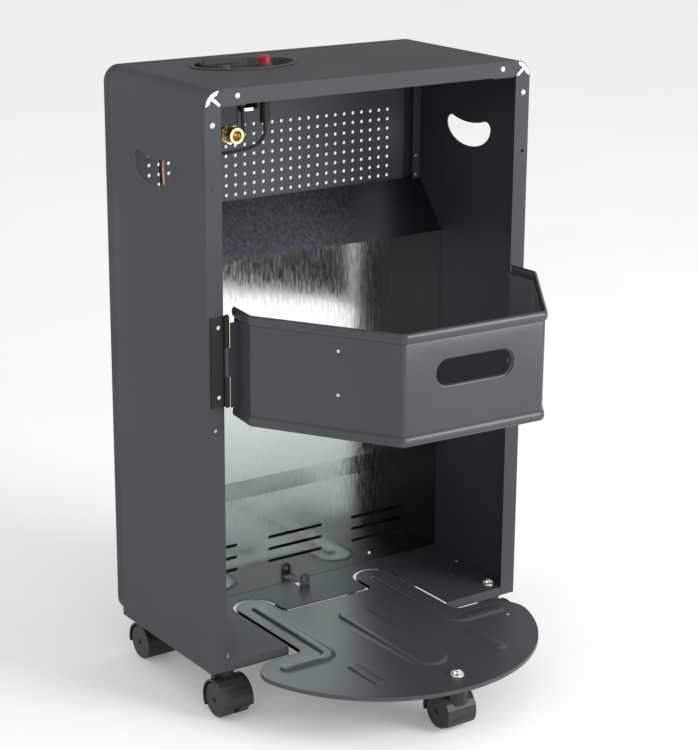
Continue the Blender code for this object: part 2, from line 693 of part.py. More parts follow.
# ---------------------------------------------------------------- controls
def build_control_panel():
    rim = slab([ellipse(DISH_CENTRE, DISH_HALF)], CASE_HEIGHT + GAP, CASE_HEIGHT + 0.0013, "XY")
    drop = [half - 0.0035 for half in DISH_HALF]
    join(rim, slab([ellipse(DISH_CENTRE, drop)], DISH_FLOOR - DISH_WALL, CASE_HEIGHT + 0.001, "XY"))
    inner = [half - DISH_WALL for half in drop]
    cut(rim, slab([ellipse(DISH_CENTRE, inner)], DISH_FLOOR, CASE_HEIGHT + 0.01, "XY"))
    boss_top = CASE_HEIGHT + 0.001
    join(rim, rod((BUTTON_X, BUTTON_Y, DISH_FLOOR - 0.0005), (BUTTON_X, BUTTON_Y, boss_top), 0.0095, 14))
    cut(rim, rod((BUTTON_X, BUTTON_Y, DISH_FLOOR + 0.0001), (BUTTON_X, BUTTON_Y, 0.66), BUTTON_RADIUS + GAP, 14))
    cut(rim, rod((BUTTON_X, BUTTON_Y, 0.62), (BUTTON_X, BUTTON_Y, 0.64), 0.0035, 8))
    cut(rim, rod((VALVE_X, VALVE_Y, 0.62), (VALVE_X, VALVE_Y, 0.64), 0.006, 10))
    piece("control_panel", rim, "black_plastic")


def build_knob():
    spindle = rod((VALVE_X, VALVE_Y, 0.622), (VALVE_X, VALVE_Y, KNOB_HIGH - 0.0065), 0.003, 12)
    piece("control_spindle", spindle, "zinc", (VALVE_X, VALVE_Y, 0.622))
    height = KNOB_HIGH - KNOB_LOW
    profile = [(0.0, height), (KNOB_RADIUS - 0.003, height), (KNOB_RADIUS - 0.0015, height - 0.0015),
               (KNOB_RADIUS, 0.0), (0.0, 0.0)]
    knob = turned(profile, 24, turn=Matrix.Translation((VALVE_X, VALVE_Y, KNOB_LOW)))
    for side in (-1, 1):
        ends = sorted((side * 0.0045, side * 0.03))
        cut(knob, box((VALVE_X - 0.03, VALVE_Y + ends[0], KNOB_HIGH - 0.0055),
                      (VALVE_X + 0.03, VALVE_Y + ends[1], KNOB_HIGH + 0.01)))
    cut(knob, rod((VALVE_X, VALVE_Y, KNOB_LOW - 0.01), (VALVE_X, VALVE_Y, KNOB_HIGH - 0.002), 0.0033, 12))
    piece("control_knob", knob, "black_plastic", (VALVE_X, VALVE_Y, KNOB_LOW))


def build_ignition():
    height = BUTTON_HIGH
    profile = [(0.0, height), (BUTTON_RADIUS - 0.002, height), (BUTTON_RADIUS, height - 0.002),
               (BUTTON_RADIUS, 0.6362), (0.003, 0.6362), (0.003, 0.622), (0.0, 0.622)]
    place = Matrix.Translation((BUTTON_X, BUTTON_Y, 0.0))
    piece("ignition_button", turned(profile, 14, turn=place), "red_plastic", (BUTTON_X, BUTTON_Y, 0.6362))
    top = DISH_FLOOR - DISH_WALL - GAP
    profile = [(0.0, 0.614), (0.0034, 0.614), (0.0034, top), (0.009, top), (0.009, 0.606), (0.0055, 0.603),
               (0.0055, 0.576), (0.0, 0.576)]
    piece("piezo_igniter", turned(profile, 12, turn=place), "black_plastic")


# ---------------------------------------------------------------- gas train
def build_gas_train():
    top = DISH_FLOOR - DISH_WALL - GAP
    hanger = box((VALVE_X - 0.019, VALVE_Y - 0.030, 0.5925), (VALVE_X + 0.034, VALVE_Y + 0.020, top))
    cut(hanger, box((VALVE_X - 0.0175, VALVE_Y - 0.04, 0.594), (VALVE_X + 0.0325, VALVE_Y + 0.03, top + 0.01)))
    face = box((VALVE_X - 0.0189, VALVE_Y - 0.0299, 0.577), (VALVE_X + 0.0075, VALVE_Y - 0.0285, top - 0.001))
    join(hanger, face)
    cut(hanger, rod((VALVE_X, VALVE_Y, 0.58), (VALVE_X, VALVE_Y, 0.60), 0.0085, 14))
    piece("valve_bracket", hanger, "galvanised")

    profile = [(0.0, 0.618), (0.0034, 0.618), (0.0034, top), (0.0125, top), (0.0125, 0.597), (0.0080, 0.597),
               (0.0080, 0.5770), (0.0, 0.5770)]
    valve = turned(profile, 14, turn=Matrix.Translation((VALVE_X, VALVE_Y, 0.0)))
    join(valve, rod((VALVE_X, VALVE_Y, 0.605), (VALVE_X, VALVE_Y - 0.020, 0.605), 0.0045, 10))
    join(valve, rod((VALVE_X, VALVE_Y, 0.582), (VALVE_X - 0.016, VALVE_Y, 0.582), 0.0045, 10))
    piece("gas_valve", valve, "brass")

    inlet_z = 0.5675
    inlet = rod((VALVE_X, VALVE_Y + 0.008, inlet_z), (VALVE_X, 0.110, inlet_z), 0.0088, 20)
    cut(inlet, rod((VALVE_X, 0.130, inlet_z), (VALVE_X, 0.10, inlet_z), 0.0060, 16))
    join(inlet, rod((VALVE_X, VALVE_Y, inlet_z), (VALVE_X, VALVE_Y, 0.5767), 0.0065, 12))
    piece("gas_inlet", inlet, "brass")
    nut = rod((VALVE_X, 0.124, inlet_z), (VALVE_X, 0.136, inlet_z), 0.0118, 6)
    cut(nut, rod((VALVE_X, 0.11, inlet_z), (VALVE_X, 0.14, inlet_z), 0.0088 + GAP, 20))
    piece("inlet_nut", nut, "brass")

    start = (VALVE_X - 0.0172, VALVE_Y, 0.582)
    bends = [start, (VALVE_X - 0.030, VALVE_Y, 0.582), (PIPE_X + 0.012, MANIFOLD_Y - 0.012, 0.572),
             (PIPE_X, MANIFOLD_Y, 0.545), (PIPE_X, MANIFOLD_Y, 0.500)]
    route = smooth_route(bends, 3) + [Vector((PIPE_X, MANIFOLD_Y, MANIFOLD_Z + 0.0053))]
    piece("gas_pipe", tube(route, 0.003, 2), "copper")

    manifold = rod((PIPE_X - 0.006, MANIFOLD_Y, MANIFOLD_Z), (0.110, MANIFOLD_Y, MANIFOLD_Z), 0.005, 12)
    for x in BURNER_XS:
        join(manifold, rod((x, MANIFOLD_Y, MANIFOLD_Z), (x, MANIFOLD_Y, MANIFOLD_Z + 0.010), 0.0025, 8))
    piece("gas_manifold", manifold, "brass")

    loop = [(BUTTON_X, BUTTON_Y, 0.5757), (BUTTON_X, BUTTON_Y, 0.564), (BUTTON_X - 0.006, BUTTON_Y + 0.001, 0.554),
            (BUTTON_X - 0.020, BUTTON_Y + 0.003, 0.5485), (BUTTON_X - 0.038, BUTTON_Y + 0.006, 0.546),
            (BUTTON_X - 0.058, BUTTON_Y + 0.014, 0.543), (BUTTON_X - 0.074, BUTTON_Y + 0.026, 0.536),
            (PIPE_X + 0.020, MANIFOLD_Y, 0.515), (PIPE_X + 0.020, MANIFOLD_Y, 0.480)]
    tail = [(PIPE_X + 0.020, MANIFOLD_Y, 0.425)]
    piece("ignition_lead", tube(smooth_route(loop, 3) + tail, 0.0018, 1), "black_lead")
    drop = [(VALVE_X + 0.0153, VALVE_Y - 0.004, 0.6085), (-0.0900, VALVE_Y - 0.014, 0.6085),
            (-0.0935, VALVE_Y - 0.027, 0.605), (-0.0938, VALVE_Y - 0.0333, 0.596), (-0.0938, VALVE_Y - 0.0338, 0.584),
            (-0.0930, VALVE_Y - 0.0332, 0.572), (-0.0915, VALVE_Y - 0.0300, 0.560)]
    piece("thermocouple_lead", tube(smooth_route(drop, 3), 0.0023, 2), "black_lead")


# ---------------------------------------------------------------- burner
def build_burners():
    depth = (0.1600, 0.1760)
    half = BURNER_WIDTH / 2
    for x, name in zip(BURNER_XS, BURNER_NAMES):
        body = box((x - half, depth[0], BURNER_LOW), (x + half, depth[1], BURNER_HIGH))
        wall = 0.0015
        cut(body, box((x - half + wall, depth[0] + wall, BURNER_LOW + wall),
                      (x + half - wall, depth[1] + 0.01, BURNER_HIGH - wall)))
        join(body, rod((x, MANIFOLD_Y, BURNER_LOW + 0.001), (x, MANIFOLD_Y, MANIFOLD_Z + 0.0125), 0.007, 12))
        cut(body, rod((x, MANIFOLD_Y, BURNER_LOW + 0.01), (x, MANIFOLD_Y, MANIFOLD_Z), 0.0055, 12))
        piece("burner_body_" + name, body, "galvanised")
        inset = 0.004
        plaque = box((x - half + inset, depth[1] + GAP, BURNER_LOW + inset),
                     (x + half - inset, 0.1868, BURNER_HIGH - inset))
        piece("ceramic_plaque_" + name, plaque, "ceramic")


def build_reflector():
    """A flared bright tray around three burner windows."""
    back_y = 0.1875
    front_y = CASE_DEPTH - SHEET - GAP
    back = rounded_box(-0.152, 0.152, 0.176, 0.414, 0.006, 3)
    plate = slab([back], back_y, back_y + 0.0008, "XZ")
    for x in BURNER_XS:
        cut(plate, box((x - 0.038, 0.18, 0.198), (x + 0.038, 0.20, 0.392)))
    inner = rounded_box(-0.1515, 0.1515, 0.1765, 0.4135, 0.006, 3)
    outer = rounded_box(-0.174, 0.174, 0.149, 0.443, 0.008, 3)
    rows = [[(x, back_y + 0.0002, z) for x, z in inner], [(x, front_y, z) for x, z in outer]]
    flare = lofted(rows, True, 0.0008, 0.0)
    piece("reflector", join(plate, flare), "polished_steel")


def build_guard():
    """A wire guard: a round-cornered ring with cross wires and two uprights behind them."""
    y = 0.2085
    radius = 0.0013
    half = 0.164
    low, high = 0.162, 0.430
    ring = [(x, y, z) for x, z in rounded_box(-half, half, low, high, 0.008, 2)]
    guard = tube(ring, radius, 1, True)
    rows = 24
    for row in range(1, rows):
        z = low + (high - low) * row / rows
        join(guard, rod((-half, y, z), (half, y, z), radius * 0.9, 6))
    for x in (-0.05, 0.05):
        join(guard, rod((x, y - 0.0018, low - 0.005), (x, y - 0.0018, high + 0.005), radius, 6))
    piece("guard_grille", guard, "blackened_steel")


def build_pilot():
    x = -0.049
    body = box((x - 0.004, 0.1889, 0.196), (x + 0.004, 0.1960, 0.210))
    join(body, rod((x, 0.1925, 0.205), (x, 0.1925, 0.222), 0.0030, 10))
    join(body, rod((x, 0.1925, 0.200), (x, 0.1925, 0.186), 0.0022, 10))
    piece("pilot_burner", body, "polished_steel")


# ---------------------------------------------------------------- castors
def castor_meshes():
    """The five solids of one castor, about its swivel axis, with the ground below."""
    stem = turned([(0.0, 0.007), (0.0038, 0.007), (0.0038, 0.0), (0.011, 0.0), (0.0085, -0.0040),
                   (0.0085, -0.0100), (0.0038, -0.0100), (0.0038, -0.0185), (0.0, -0.0185)], 8)
    wheel_y = CASTOR_TRAIL
    hood = rod((-HOOD_HALF_WIDTH, wheel_y, AXLE_Z), (HOOD_HALF_WIDTH, wheel_y, AXLE_Z), HOOD_RADIUS, 20)
    join(hood, rod((0, 0, -0.0300), (0, 0, -0.0103), 0.0130, 10))
    for side in (-1, 1):
        pocket = rod((side * 0.0032, wheel_y, AXLE_Z), (side * 0.03, wheel_y, AXLE_Z), WHEEL_RADIUS + 0.0008, 20)
        cut(hood, pocket)
    skirt = [(-0.05, -0.09), (0.09, -0.09), (0.09, AXLE_Z + 0.006), (wheel_y, AXLE_Z - 0.010),
             (-0.05, AXLE_Z - 0.0190)]
    cut(hood, slab([skirt], -0.05, 0.05, "YZ"))
    cut(hood, rod((0, 0, -0.0190), (0, 0, 0.0), 0.0043, 8))
    cut(hood, rod((-0.01, wheel_y, AXLE_Z), (0.01, wheel_y, AXLE_Z), AXLE_RADIUS + 2 * GAP, 8))
    axle = rod((-0.0165, wheel_y, AXLE_Z), (0.0165, wheel_y, AXLE_Z), AXLE_RADIUS, 8)
    bore = AXLE_RADIUS + 2 * GAP
    width = WHEEL_OUTER - WHEEL_INNER
    profile = [(bore, width), (WHEEL_RADIUS - 0.0015, width), (WHEEL_RADIUS, width - 0.0015), (WHEEL_RADIUS, 0.0),
               (bore, 0.0)]
    wheels = []
    for side in (-1, 1):
        lie = Matrix.Rotation(side * math.pi / 2, 4, "Y")
        place = Matrix.Translation((side * WHEEL_INNER, wheel_y, AXLE_Z)) @ lie
        wheels.append(turned(profile, 16, closed=True, turn=place))
    bpy.context.view_layer.update()
    solids = [stem, baked(hood), axle] + wheels
    return dict(zip(("stem", "housing", "axle", "wheel_left", "wheel_right"), solids))


def build_castors():
    """Each castor at rest; the two under the rear corners trail backwards, the others forwards."""
    finishes = {"stem": "zinc", "axle": "zinc"}
    solids = castor_meshes()
    opposite = {"wheel_left": "wheel_right", "wheel_right": "wheel_left"}
    for place_name, x, y in CASTOR_PLACES:
        backwards = place_name.startswith("rear")
        heading = Matrix.Rotation(math.pi if backwards else 0.0, 4, "Z")
        trail = -CASTOR_TRAIL if backwards else CASTOR_TRAIL
        for part_name, solid in solids.items():
            label = opposite.get(part_name, part_name) if backwards else part_name
            name = "castor_" + place_name + "_" + label
            copy = add_object(name, solid.data.copy())
            copy.matrix_basis = Matrix.Translation((x, y, CASTOR_TOP)) @ heading
            origin = (x, y, CASTOR_TOP)
            if part_name in ("axle", "wheel_left", "wheel_right"):
                origin = (x, y + trail, CASTOR_TOP + AXLE_Z)
            piece(name, copy, finishes.get(part_name, "black_plastic"), origin)
    for solid in solids.values():
        bpy.data.objects.remove(solid, do_unlink=True)


clear_scene()
PARTS = new_collection("outdoor_heater")
CUTTERS = new_collection("guides")
CABINET = bpy.data.objects.new("cabinet_origin", None)
CABINET.location = (0.0, (PLATE_REACH - CASE_DEPTH) / 2, GROUND_DROP)
PARTS.objects.link(CABINET)

build_casing()
build_corner_brackets()
build_front_frame()
build_perforated_panel()
build_burner_shield()
build_floor_plate()
build_base_plate()
build_retainer_band()
build_band_hinge()
build_control_panel()
build_knob()
build_ignition()
build_gas_train()
build_burners()
build_reflector()
build_guard()
build_pilot()
build_castors()
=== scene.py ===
"""Looks for the slim cabinet gas heater: materials, finer sheet work, fixings, light and camera."""
import math

import bmesh
import bpy
from mathutils import Matrix, Vector, geometry


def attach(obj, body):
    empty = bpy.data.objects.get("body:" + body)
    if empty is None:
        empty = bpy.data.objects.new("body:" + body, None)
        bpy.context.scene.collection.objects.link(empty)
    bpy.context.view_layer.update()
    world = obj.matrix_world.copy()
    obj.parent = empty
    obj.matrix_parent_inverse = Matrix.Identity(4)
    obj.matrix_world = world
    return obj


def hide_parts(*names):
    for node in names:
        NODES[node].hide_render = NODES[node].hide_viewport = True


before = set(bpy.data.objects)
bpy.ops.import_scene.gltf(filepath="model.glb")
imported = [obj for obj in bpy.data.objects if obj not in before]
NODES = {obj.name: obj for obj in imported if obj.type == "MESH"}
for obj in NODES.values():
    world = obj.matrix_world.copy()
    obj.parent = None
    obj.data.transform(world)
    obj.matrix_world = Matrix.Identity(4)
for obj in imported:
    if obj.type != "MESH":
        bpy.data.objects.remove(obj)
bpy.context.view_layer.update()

# The cabinet's own origin in the frame: X across, Y from the rear opening, Z from the underside
CABINET = Vector((0.0, -0.008, 0.054))
TO_WORLD = Matrix.Translation(CABINET)

SHEET = 0.0012
CASE_DEPTH = 0.213
FLOOR_TOP = 0.010
GAP = 0.0003


# ---------------------------------------------------------------- materials
class Shader:
    """A Principled material under construction."""

    def __init__(self, name, colour, roughness, metallic=0.0, specular=0.5):
        self.material = bpy.data.materials.new(name)
        self.material.use_nodes = True
        self.tree = self.material.node_tree
        self.surface = self.tree.nodes["Principled BSDF"]
        self.surface.inputs["Base Color"].default_value = (*colour, 1.0)
        self.surface.inputs["Roughness"].default_value = roughness
        self.surface.inputs["Metallic"].default_value = metallic
        self.surface.inputs["Specular IOR Level"].default_value = specular
        self.place = self.tree.nodes.new("ShaderNodeTexCoord").outputs["Object"]
        self.height = None

    def node(self, kind, **settings):
        made = self.tree.nodes.new("ShaderNode" + kind)
        for key, value in settings.items():
            setattr(made, key, value)
        return made

    def link(self, source, target):
        self.tree.links.new(source, target)

    def stretched(self, scale):
        mapping = self.node("Mapping")
        mapping.inputs["Scale"].default_value = scale
        self.link(self.place, mapping.inputs["Vector"])
        return mapping.outputs["Vector"]

    def noise(self, scale, detail=3.0, stretch=(1, 1, 1), rough=0.5):
        made = self.node("TexNoise")
        self.link(self.stretched(stretch), made.inputs["Vector"])
        made.inputs["Scale"].default_value = scale
        made.inputs["Detail"].default_value = detail
        made.inputs["Roughness"].default_value = rough
        return made.outputs["Fac"]

    def ramp(self, source, low, high, start=0.3, end=0.7):
        """A number or a colour that runs from low to high as the source runs from start to end."""
        made = self.node("MapRange")
        made.inputs["From Min"].default_value = start
        made.inputs["From Max"].default_value = end
        made.inputs["To Min"].default_value = low
        made.inputs["To Max"].default_value = high
        self.link(source, made.inputs["Value"])
        return made.outputs["Result"]

    def blend(self, factor, first, second, kind="MIX"):
        made = self.node("MixRGB", blend_type=kind)
        for value, socket in ((factor, "Fac"), (first, "Color1"), (second, "Color2")):
            if isinstance(value, bpy.types.NodeSocket):
                self.link(value, made.inputs[socket])
            elif isinstance(value, tuple):
                made.inputs[socket].default_value = (*value, 1.0)
            else:
                made.inputs[socket].default_value = value
        return made.outputs["Color"]

    def colour(self, source):
        self.link(source, self.surface.inputs["Base Color"])

    def roughness(self, source):
        self.link(source, self.surface.inputs["Roughness"])

    def bump(self, source, strength, distance):
        made = self.node("Bump")
        made.inputs["Strength"].default_value = strength
        made.inputs["Distance"].default_value = distance
        self.link(source, made.inputs["Height"])
        if self.height is not None:
            self.link(self.height, made.inputs["Normal"])
        self.height = made.outputs["Normal"]
        self.link(self.height, self.surface.inputs["Normal"])


COAT_GRAIN = (0.12, 0.13, 0.14)


def powder_coat(name, colour, roughness=0.42, specular=0.22):
    """Matt baked coating: a faint cloud of tone, pale grains and a fine orange peel."""
    made = Shader(name, colour, roughness, specular=specular)
    cloud = made.noise(9.0, 2.0)
    lighter = tuple(value * 1.10 for value in colour)
    darker = tuple(value * 0.90 for value in colour)
    grains = made.noise(1500.0, 2.0)
    tone = made.blend(made.ramp(cloud, 0.0, 1.0), darker, lighter)
    made.colour(made.blend(made.ramp(grains, 0.0, 0.06), tone, COAT_GRAIN))
    made.roughness(made.ramp(made.noise(700.0, 3.0), roughness - 0.06, roughness + 0.08))
    made.bump(made.noise(620.0, 3.0), 0.09, 0.0004)
    made.bump(grains, 0.10, 0.00015)
    return made.material


# Painted shade: the zinc is darkened below the first height in the frame, standing in for the darker floor
# it reflects there, and keeps its own tone above the second
FLOOR_REFLECTION_SHADE = (0.34, 0.37, 0.37)
FLOOR_REFLECTION_HEIGHTS = (0.13, 0.42)
WHITE = (1.0, 1.0, 1.0)


def galvanised(name, colour=(0.72, 0.765, 0.745), shine=0.11, tilt=0.10):
    """Zinc-coated sheet: a dull mirror with fine upright flecks, with painted shade darkening it towards
    the foot of the heater.
    """
    made = Shader(name, colour, shine, metallic=1.0)
    flecks = made.noise(420.0, 3.0, (1.0, 1.0, 0.22), 0.6)
    clouds = made.noise(14.0, 3.0, (1.0, 1.0, 0.5))
    duller = tuple(value * 0.84 for value in colour)
    tone = made.blend(made.ramp(flecks, 0.0, 0.6), colour, duller)
    tone = made.blend(made.ramp(clouds, 0.0, 0.35), tone, duller)
    # Painted shade: the colour is multiplied darker towards the bottom of the frame, for the dark floor
    # that the zinc reflects
    split = made.node("SeparateXYZ")
    made.link(made.place, split.inputs["Vector"])
    painted_shade_factor = made.blend(made.ramp(split.outputs["Z"], 0.0, 1.0, *FLOOR_REFLECTION_HEIGHTS), FLOOR_REFLECTION_SHADE, WHITE)
    made.colour(made.blend(1.0, tone, painted_shade_factor, "MULTIPLY"))
    made.roughness(made.ramp(made.noise(300.0, 2.0, (1.0, 1.0, 0.25)), shine, shine + 0.10))
    made.bump(flecks, tilt, 0.0005)
    made.bump(made.noise(150.0, 2.0, (1.0, 1.0, 0.25)), tilt * 0.8, 0.0007)
    return made.material


def bright_metal(name, colour, roughness, scratches=0.06, scale=900.0, stretch=(1, 1, 1)):
    """Bare or plated metal with a fine grain that changes its roughness."""
    made = Shader(name, colour, roughness, metallic=1.0)
    grain = made.noise(scale, 3.0, stretch)
    tint = tuple(value * 0.80 for value in colour)
    made.colour(made.blend(made.ramp(made.noise(160.0, 3.0), 0.0, 0.7), colour, tint))
    made.roughness(made.ramp(grain, roughness - 0.05, roughness + 0.12))
    made.bump(grain, scratches, 0.0003)
    return made.material


def moulded(name, colour, roughness, grain=0.10, specular=0.5):
    """Moulded plastic or rubber with a spark-eroded grain."""
    made = Shader(name, colour, roughness, specular=specular)
    lighter = tuple(value * 1.35 + 0.003 for value in colour)
    made.colour(made.blend(made.ramp(made.noise(60.0, 3.0), 0.0, 0.8), colour, lighter))
    made.roughness(made.ramp(made.noise(900.0, 2.0), roughness - 0.05, roughness + 0.10))
    made.bump(made.noise(1300.0, 2.0), grain, 0.0002)
    return made.material


PORT_PITCH = 0.0021
PORT_COLOUR = (0.10, 0.075, 0.06)
CLAY_PALE = (0.80, 0.71, 0.58)
CLAY_DARK = (0.68, 0.58, 0.46)


def ceramic(name):
    """Fired ceramic with a close grid of burner ports."""
    made = Shader(name, (0.78, 0.70, 0.58), 0.85, specular=0.3)
    per_metre = 1 / PORT_PITCH
    split = made.node("SeparateXYZ")
    made.link(made.stretched((per_metre, per_metre, per_metre)), split.inputs["Vector"])
    waves = []
    for axis in ("X", "Z"):
        fraction = made.node("Math", operation="FRACT")
        made.link(split.outputs[axis], fraction.inputs[0])
        centred = made.node("Math", operation="SUBTRACT")
        made.link(fraction.outputs[0], centred.inputs[0])
        centred.inputs[1].default_value = 0.5
        square = made.node("Math", operation="POWER")
        absolute = made.node("Math", operation="ABSOLUTE")
        made.link(centred.outputs[0], absolute.inputs[0])
        made.link(absolute.outputs[0], square.inputs[0])
        square.inputs[1].default_value = 2.0
        waves.append(square.outputs[0])
    total = made.node("Math", operation="ADD")
    made.link(waves[0], total.inputs[0])
    made.link(waves[1], total.inputs[1])
    ports = made.ramp(total.outputs[0], 0.0, 1.0, 0.075, 0.11)
    body = made.blend(made.ramp(made.noise(35.0, 3.0), 0.0, 1.0), CLAY_PALE, CLAY_DARK)
    made.colour(made.blend(ports, PORT_COLOUR, body))
    made.bump(ports, 0.5, 0.0006)
    made.bump(made.noise(900.0, 2.0), 0.15, 0.0002)
    return made.material


SLATE = (0.036, 0.042, 0.047)
COAT = powder_coat("powder_coat", SLATE)
COAT_DARK = powder_coat("powder_coat_dark", SLATE, 0.50)
COAT_PANEL = powder_coat("powder_coat_panel", (0.062, 0.070, 0.078), 0.45)
COAT_BAND = powder_coat("powder_coat_band", (0.038, 0.045, 0.051), 0.30, 0.42)
COAT_FLOOR = powder_coat("powder_coat_floor", (0.040, 0.046, 0.052), 0.46, 0.22)
COAT_PLATE = powder_coat("powder_coat_plate", (0.046, 0.053, 0.060), 0.34, 0.36)
GALVANISED = galvanised("galvanised_sheet")
# Painted shade: a darker, rougher copy of the zinc for the shield's upward-facing slope, standing in for
# the dark interior it reflects
GALVANISED_SHADED = galvanised("galvanised_slope_painted_shade", (0.13, 0.15, 0.17), 0.30, 0.04)
ZINC = bright_metal("bright_zinc", (0.82, 0.83, 0.82), 0.28, 0.10)
RIVET = bright_metal("rivet_steel", (0.66, 0.68, 0.70), 0.34, 0.10, 1500.0)
BRASS = bright_metal("machined_brass", (0.74, 0.62, 0.34), 0.26, 0.10, 500.0, (1, 5, 1))
COPPER = bright_metal("copper_tube", (0.30, 0.17, 0.12), 0.45, 0.06)
MIRROR_STEEL = bright_metal("bright_reflector", (0.80, 0.80, 0.79), 0.12, 0.05, 240.0, (1, 1, 6))
PLASTIC = moulded("black_plastic", (0.016, 0.016, 0.016), 0.42, 0.10, 0.35)
PLASTIC_SOFT = moulded("dish_plastic", (0.036, 0.038, 0.040), 0.50)
LEAD = moulded("lead_sleeve", (0.012, 0.012, 0.012), 0.50, 0.05)
RED = moulded("red_plastic", (0.26, 0.008, 0.024), 0.34, 0.04)
CERAMIC = ceramic("burner_ceramic")
BLACK_STEEL = powder_coat("black_steel", (0.016, 0.013, 0.012), 0.48)
GUARD_STEEL = bright_metal("guard_wire", (0.42, 0.42, 0.42), 0.30, 0.10)

FINISHES = {
    "casing": COAT, "corner_bracket_left": COAT, "corner_bracket_right": COAT,
    "front_frame": COAT_DARK, "valve_bracket": COAT_DARK, "perforated_panel": COAT_PANEL,
    "floor_plate": COAT_FLOOR, "base_plate": COAT_PLATE,
    "retainer_band": COAT_BAND, "hinge_leaf_moving": COAT_BAND,
    "hinge_leaf_fixed": BLACK_STEEL, "hinge_pin": BLACK_STEEL,
    "burner_shield": GALVANISED, "floor_hinge_rod": ZINC, "control_spindle": ZINC,
    "control_panel": PLASTIC_SOFT, "control_knob": PLASTIC, "piezo_igniter": PLASTIC,
    "ignition_button": RED, "ignition_lead": LEAD, "thermocouple_lead": LEAD,
    "gas_valve": BRASS, "gas_inlet": BRASS, "inlet_nut": BRASS, "gas_manifold": BRASS,
    "gas_pipe": COPPER, "reflector": MIRROR_STEEL, "pilot_burner": MIRROR_STEEL,
    "guard_grille": GUARD_STEEL,
}


def dress(thing, material):
    thing.data.materials.clear()
    thing.data.materials.append(material)


def finish_of(node_name):
    if node_name in FINISHES:
        return FINISHES[node_name]
    if node_name.startswith("burner_body"):
        return GALVANISED
    if node_name.startswith("ceramic_plaque"):
        return CERAMIC
    return ZINC if node_name.endswith("_stem") else PLASTIC


for node_name, thing in NODES.items():
    dress(thing, finish_of(node_name))


def soften(thing, width, segments=2, angle=40):
    """Rounds the sheet's own edges, as folding and coating do."""
    bevel = thing.modifiers.new("edge", "BEVEL")
    bevel.width = width
    bevel.segments = segments
    bevel.limit_method = "ANGLE"
    bevel.angle_limit = math.radians(angle)
    bevel.harden_normals = True
    return thing


def smooth_rounds(angle):
    """A geometry modifier that shades rounds smoothly and keeps folds sharper than the angle crisp."""
    group = bpy.data.node_groups.new("smooth_rounds", "GeometryNodeTree")
    group.interface.new_socket("Geometry", in_out="INPUT", socket_type="NodeSocketGeometry")
    group.interface.new_socket("Geometry", in_out="OUTPUT", socket_type="NodeSocketGeometry")
    source = group.nodes.new("NodeGroupInput")
    target = group.nodes.new("NodeGroupOutput")
    faces = group.nodes.new("GeometryNodeSetShadeSmooth")
    edges = group.nodes.new("GeometryNodeSetShadeSmooth")
    edges.domain = "EDGE"
    edges.inputs["Shade Smooth"].default_value = False
    fold = group.nodes.new("GeometryNodeInputMeshEdgeAngle")
    compare = group.nodes.new("FunctionNodeCompare")
    compare.operation = "GREATER_THAN"
    compare.inputs[1].default_value = math.radians(angle)
    group.links.new(source.outputs[0], faces.inputs["Geometry"])
    group.links.new(faces.outputs["Geometry"], edges.inputs["Geometry"])
    group.links.new(fold.outputs["Unsigned Angle"], compare.inputs[0])
    group.links.new(compare.outputs["Result"], edges.inputs["Selection"])
    group.links.new(edges.outputs["Geometry"], target.inputs[0])
    return group


# Flat sheets keep their plain faces, or are bevelled or covered further down
FLAT_SHEETS = ("casing", "base_plate", "floor_plate", "front_frame", "perforated_panel", "retainer_band")
ROUNDS = smooth_rounds(32.0)
for node_name, thing in NODES.items():
    if node_name not in FLAT_SHEETS:
        thing.modifiers.new("rounds", "NODES").node_group = ROUNDS


# ---------------------------------------------------------------- building
def arc(centre, radius, start, end, steps):
    """Points along an arc, from start to end in degrees."""
    points = []
    for step in range(steps + 1):
        angle = math.radians(start + (end - start) * step / steps)
        points.append((centre[0] + radius * math.cos(angle), centre[1] + radius * math.sin(angle)))
    return points


def stadium(centre, length, height, steps=10):
    """A slot with round ends, as an outline."""
    half = (length - height) / 2
    right = arc((centre[0] + half, centre[1]), height / 2, -90, 90, steps)
    left = arc((centre[0] - half, centre[1]), height / 2, 90, 270, steps)
    return right + left


def rectangle(low, high, bottom, top, side=1):
    """An (x, z) outline, mirrored in X when side is -1."""
    return [(side * x, z) for x, z in ((low, bottom), (high, bottom), (high, top), (low, top))]


def add_piece(name, mesh, material, body, node_names=()):
    """A visible piece riding on a body, beside the CAD nodes or in place of the ones it hides."""
    made = bpy.data.objects.new(name, mesh)
    bpy.context.scene.collection.objects.link(made)
    dress(made, material)
    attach(made, body)
    if node_names:
        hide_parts(*node_names)
    return made


def settled(work, name, smooth_angle=35):
    """A finished mesh from bmesh, with consistent outward faces and smooth shading."""
    bmesh.ops.recalc_face_normals(work, faces=work.faces)
    mesh = bpy.data.meshes.new(name)
    work.to_mesh(mesh)
    work.free()
    mesh.shade_smooth()
    mesh.set_sharp_from_angle(angle=math.radians(smooth_angle))
    return mesh


def swept(rows, closed_rows=False, closed_loops=False):
    """A skin over rows of points, each row the same length."""
    work = bmesh.new()
    grid = [[work.verts.new(point) for point in row] for row in rows]
    count = len(rows[0])
    pairs = list(zip(grid, grid[1:]))
    if closed_rows:
        pairs.append((grid[-1], grid[0]))
    for lower, upper in pairs:
        for index in range(count if closed_loops else count - 1):
            after = (index + 1) % count
            work.faces.new((lower[index], lower[after], upper[after], upper[index]))
    return work


def lathe(profile, place, steps=20):
    """A profile of (radius, height) points turned about the Z axis of place."""
    rows = []
    for radius, height in profile:
        row = []
        for step in range(steps):
            angle = 2 * math.pi * step / steps
            row.append(place @ Vector((radius * math.cos(angle), radius * math.sin(angle), height)))
        rows.append(row)
    work = swept(rows, closed_loops=True)
    bmesh.ops.remove_doubles(work, verts=work.verts, dist=0.000005)
    return work


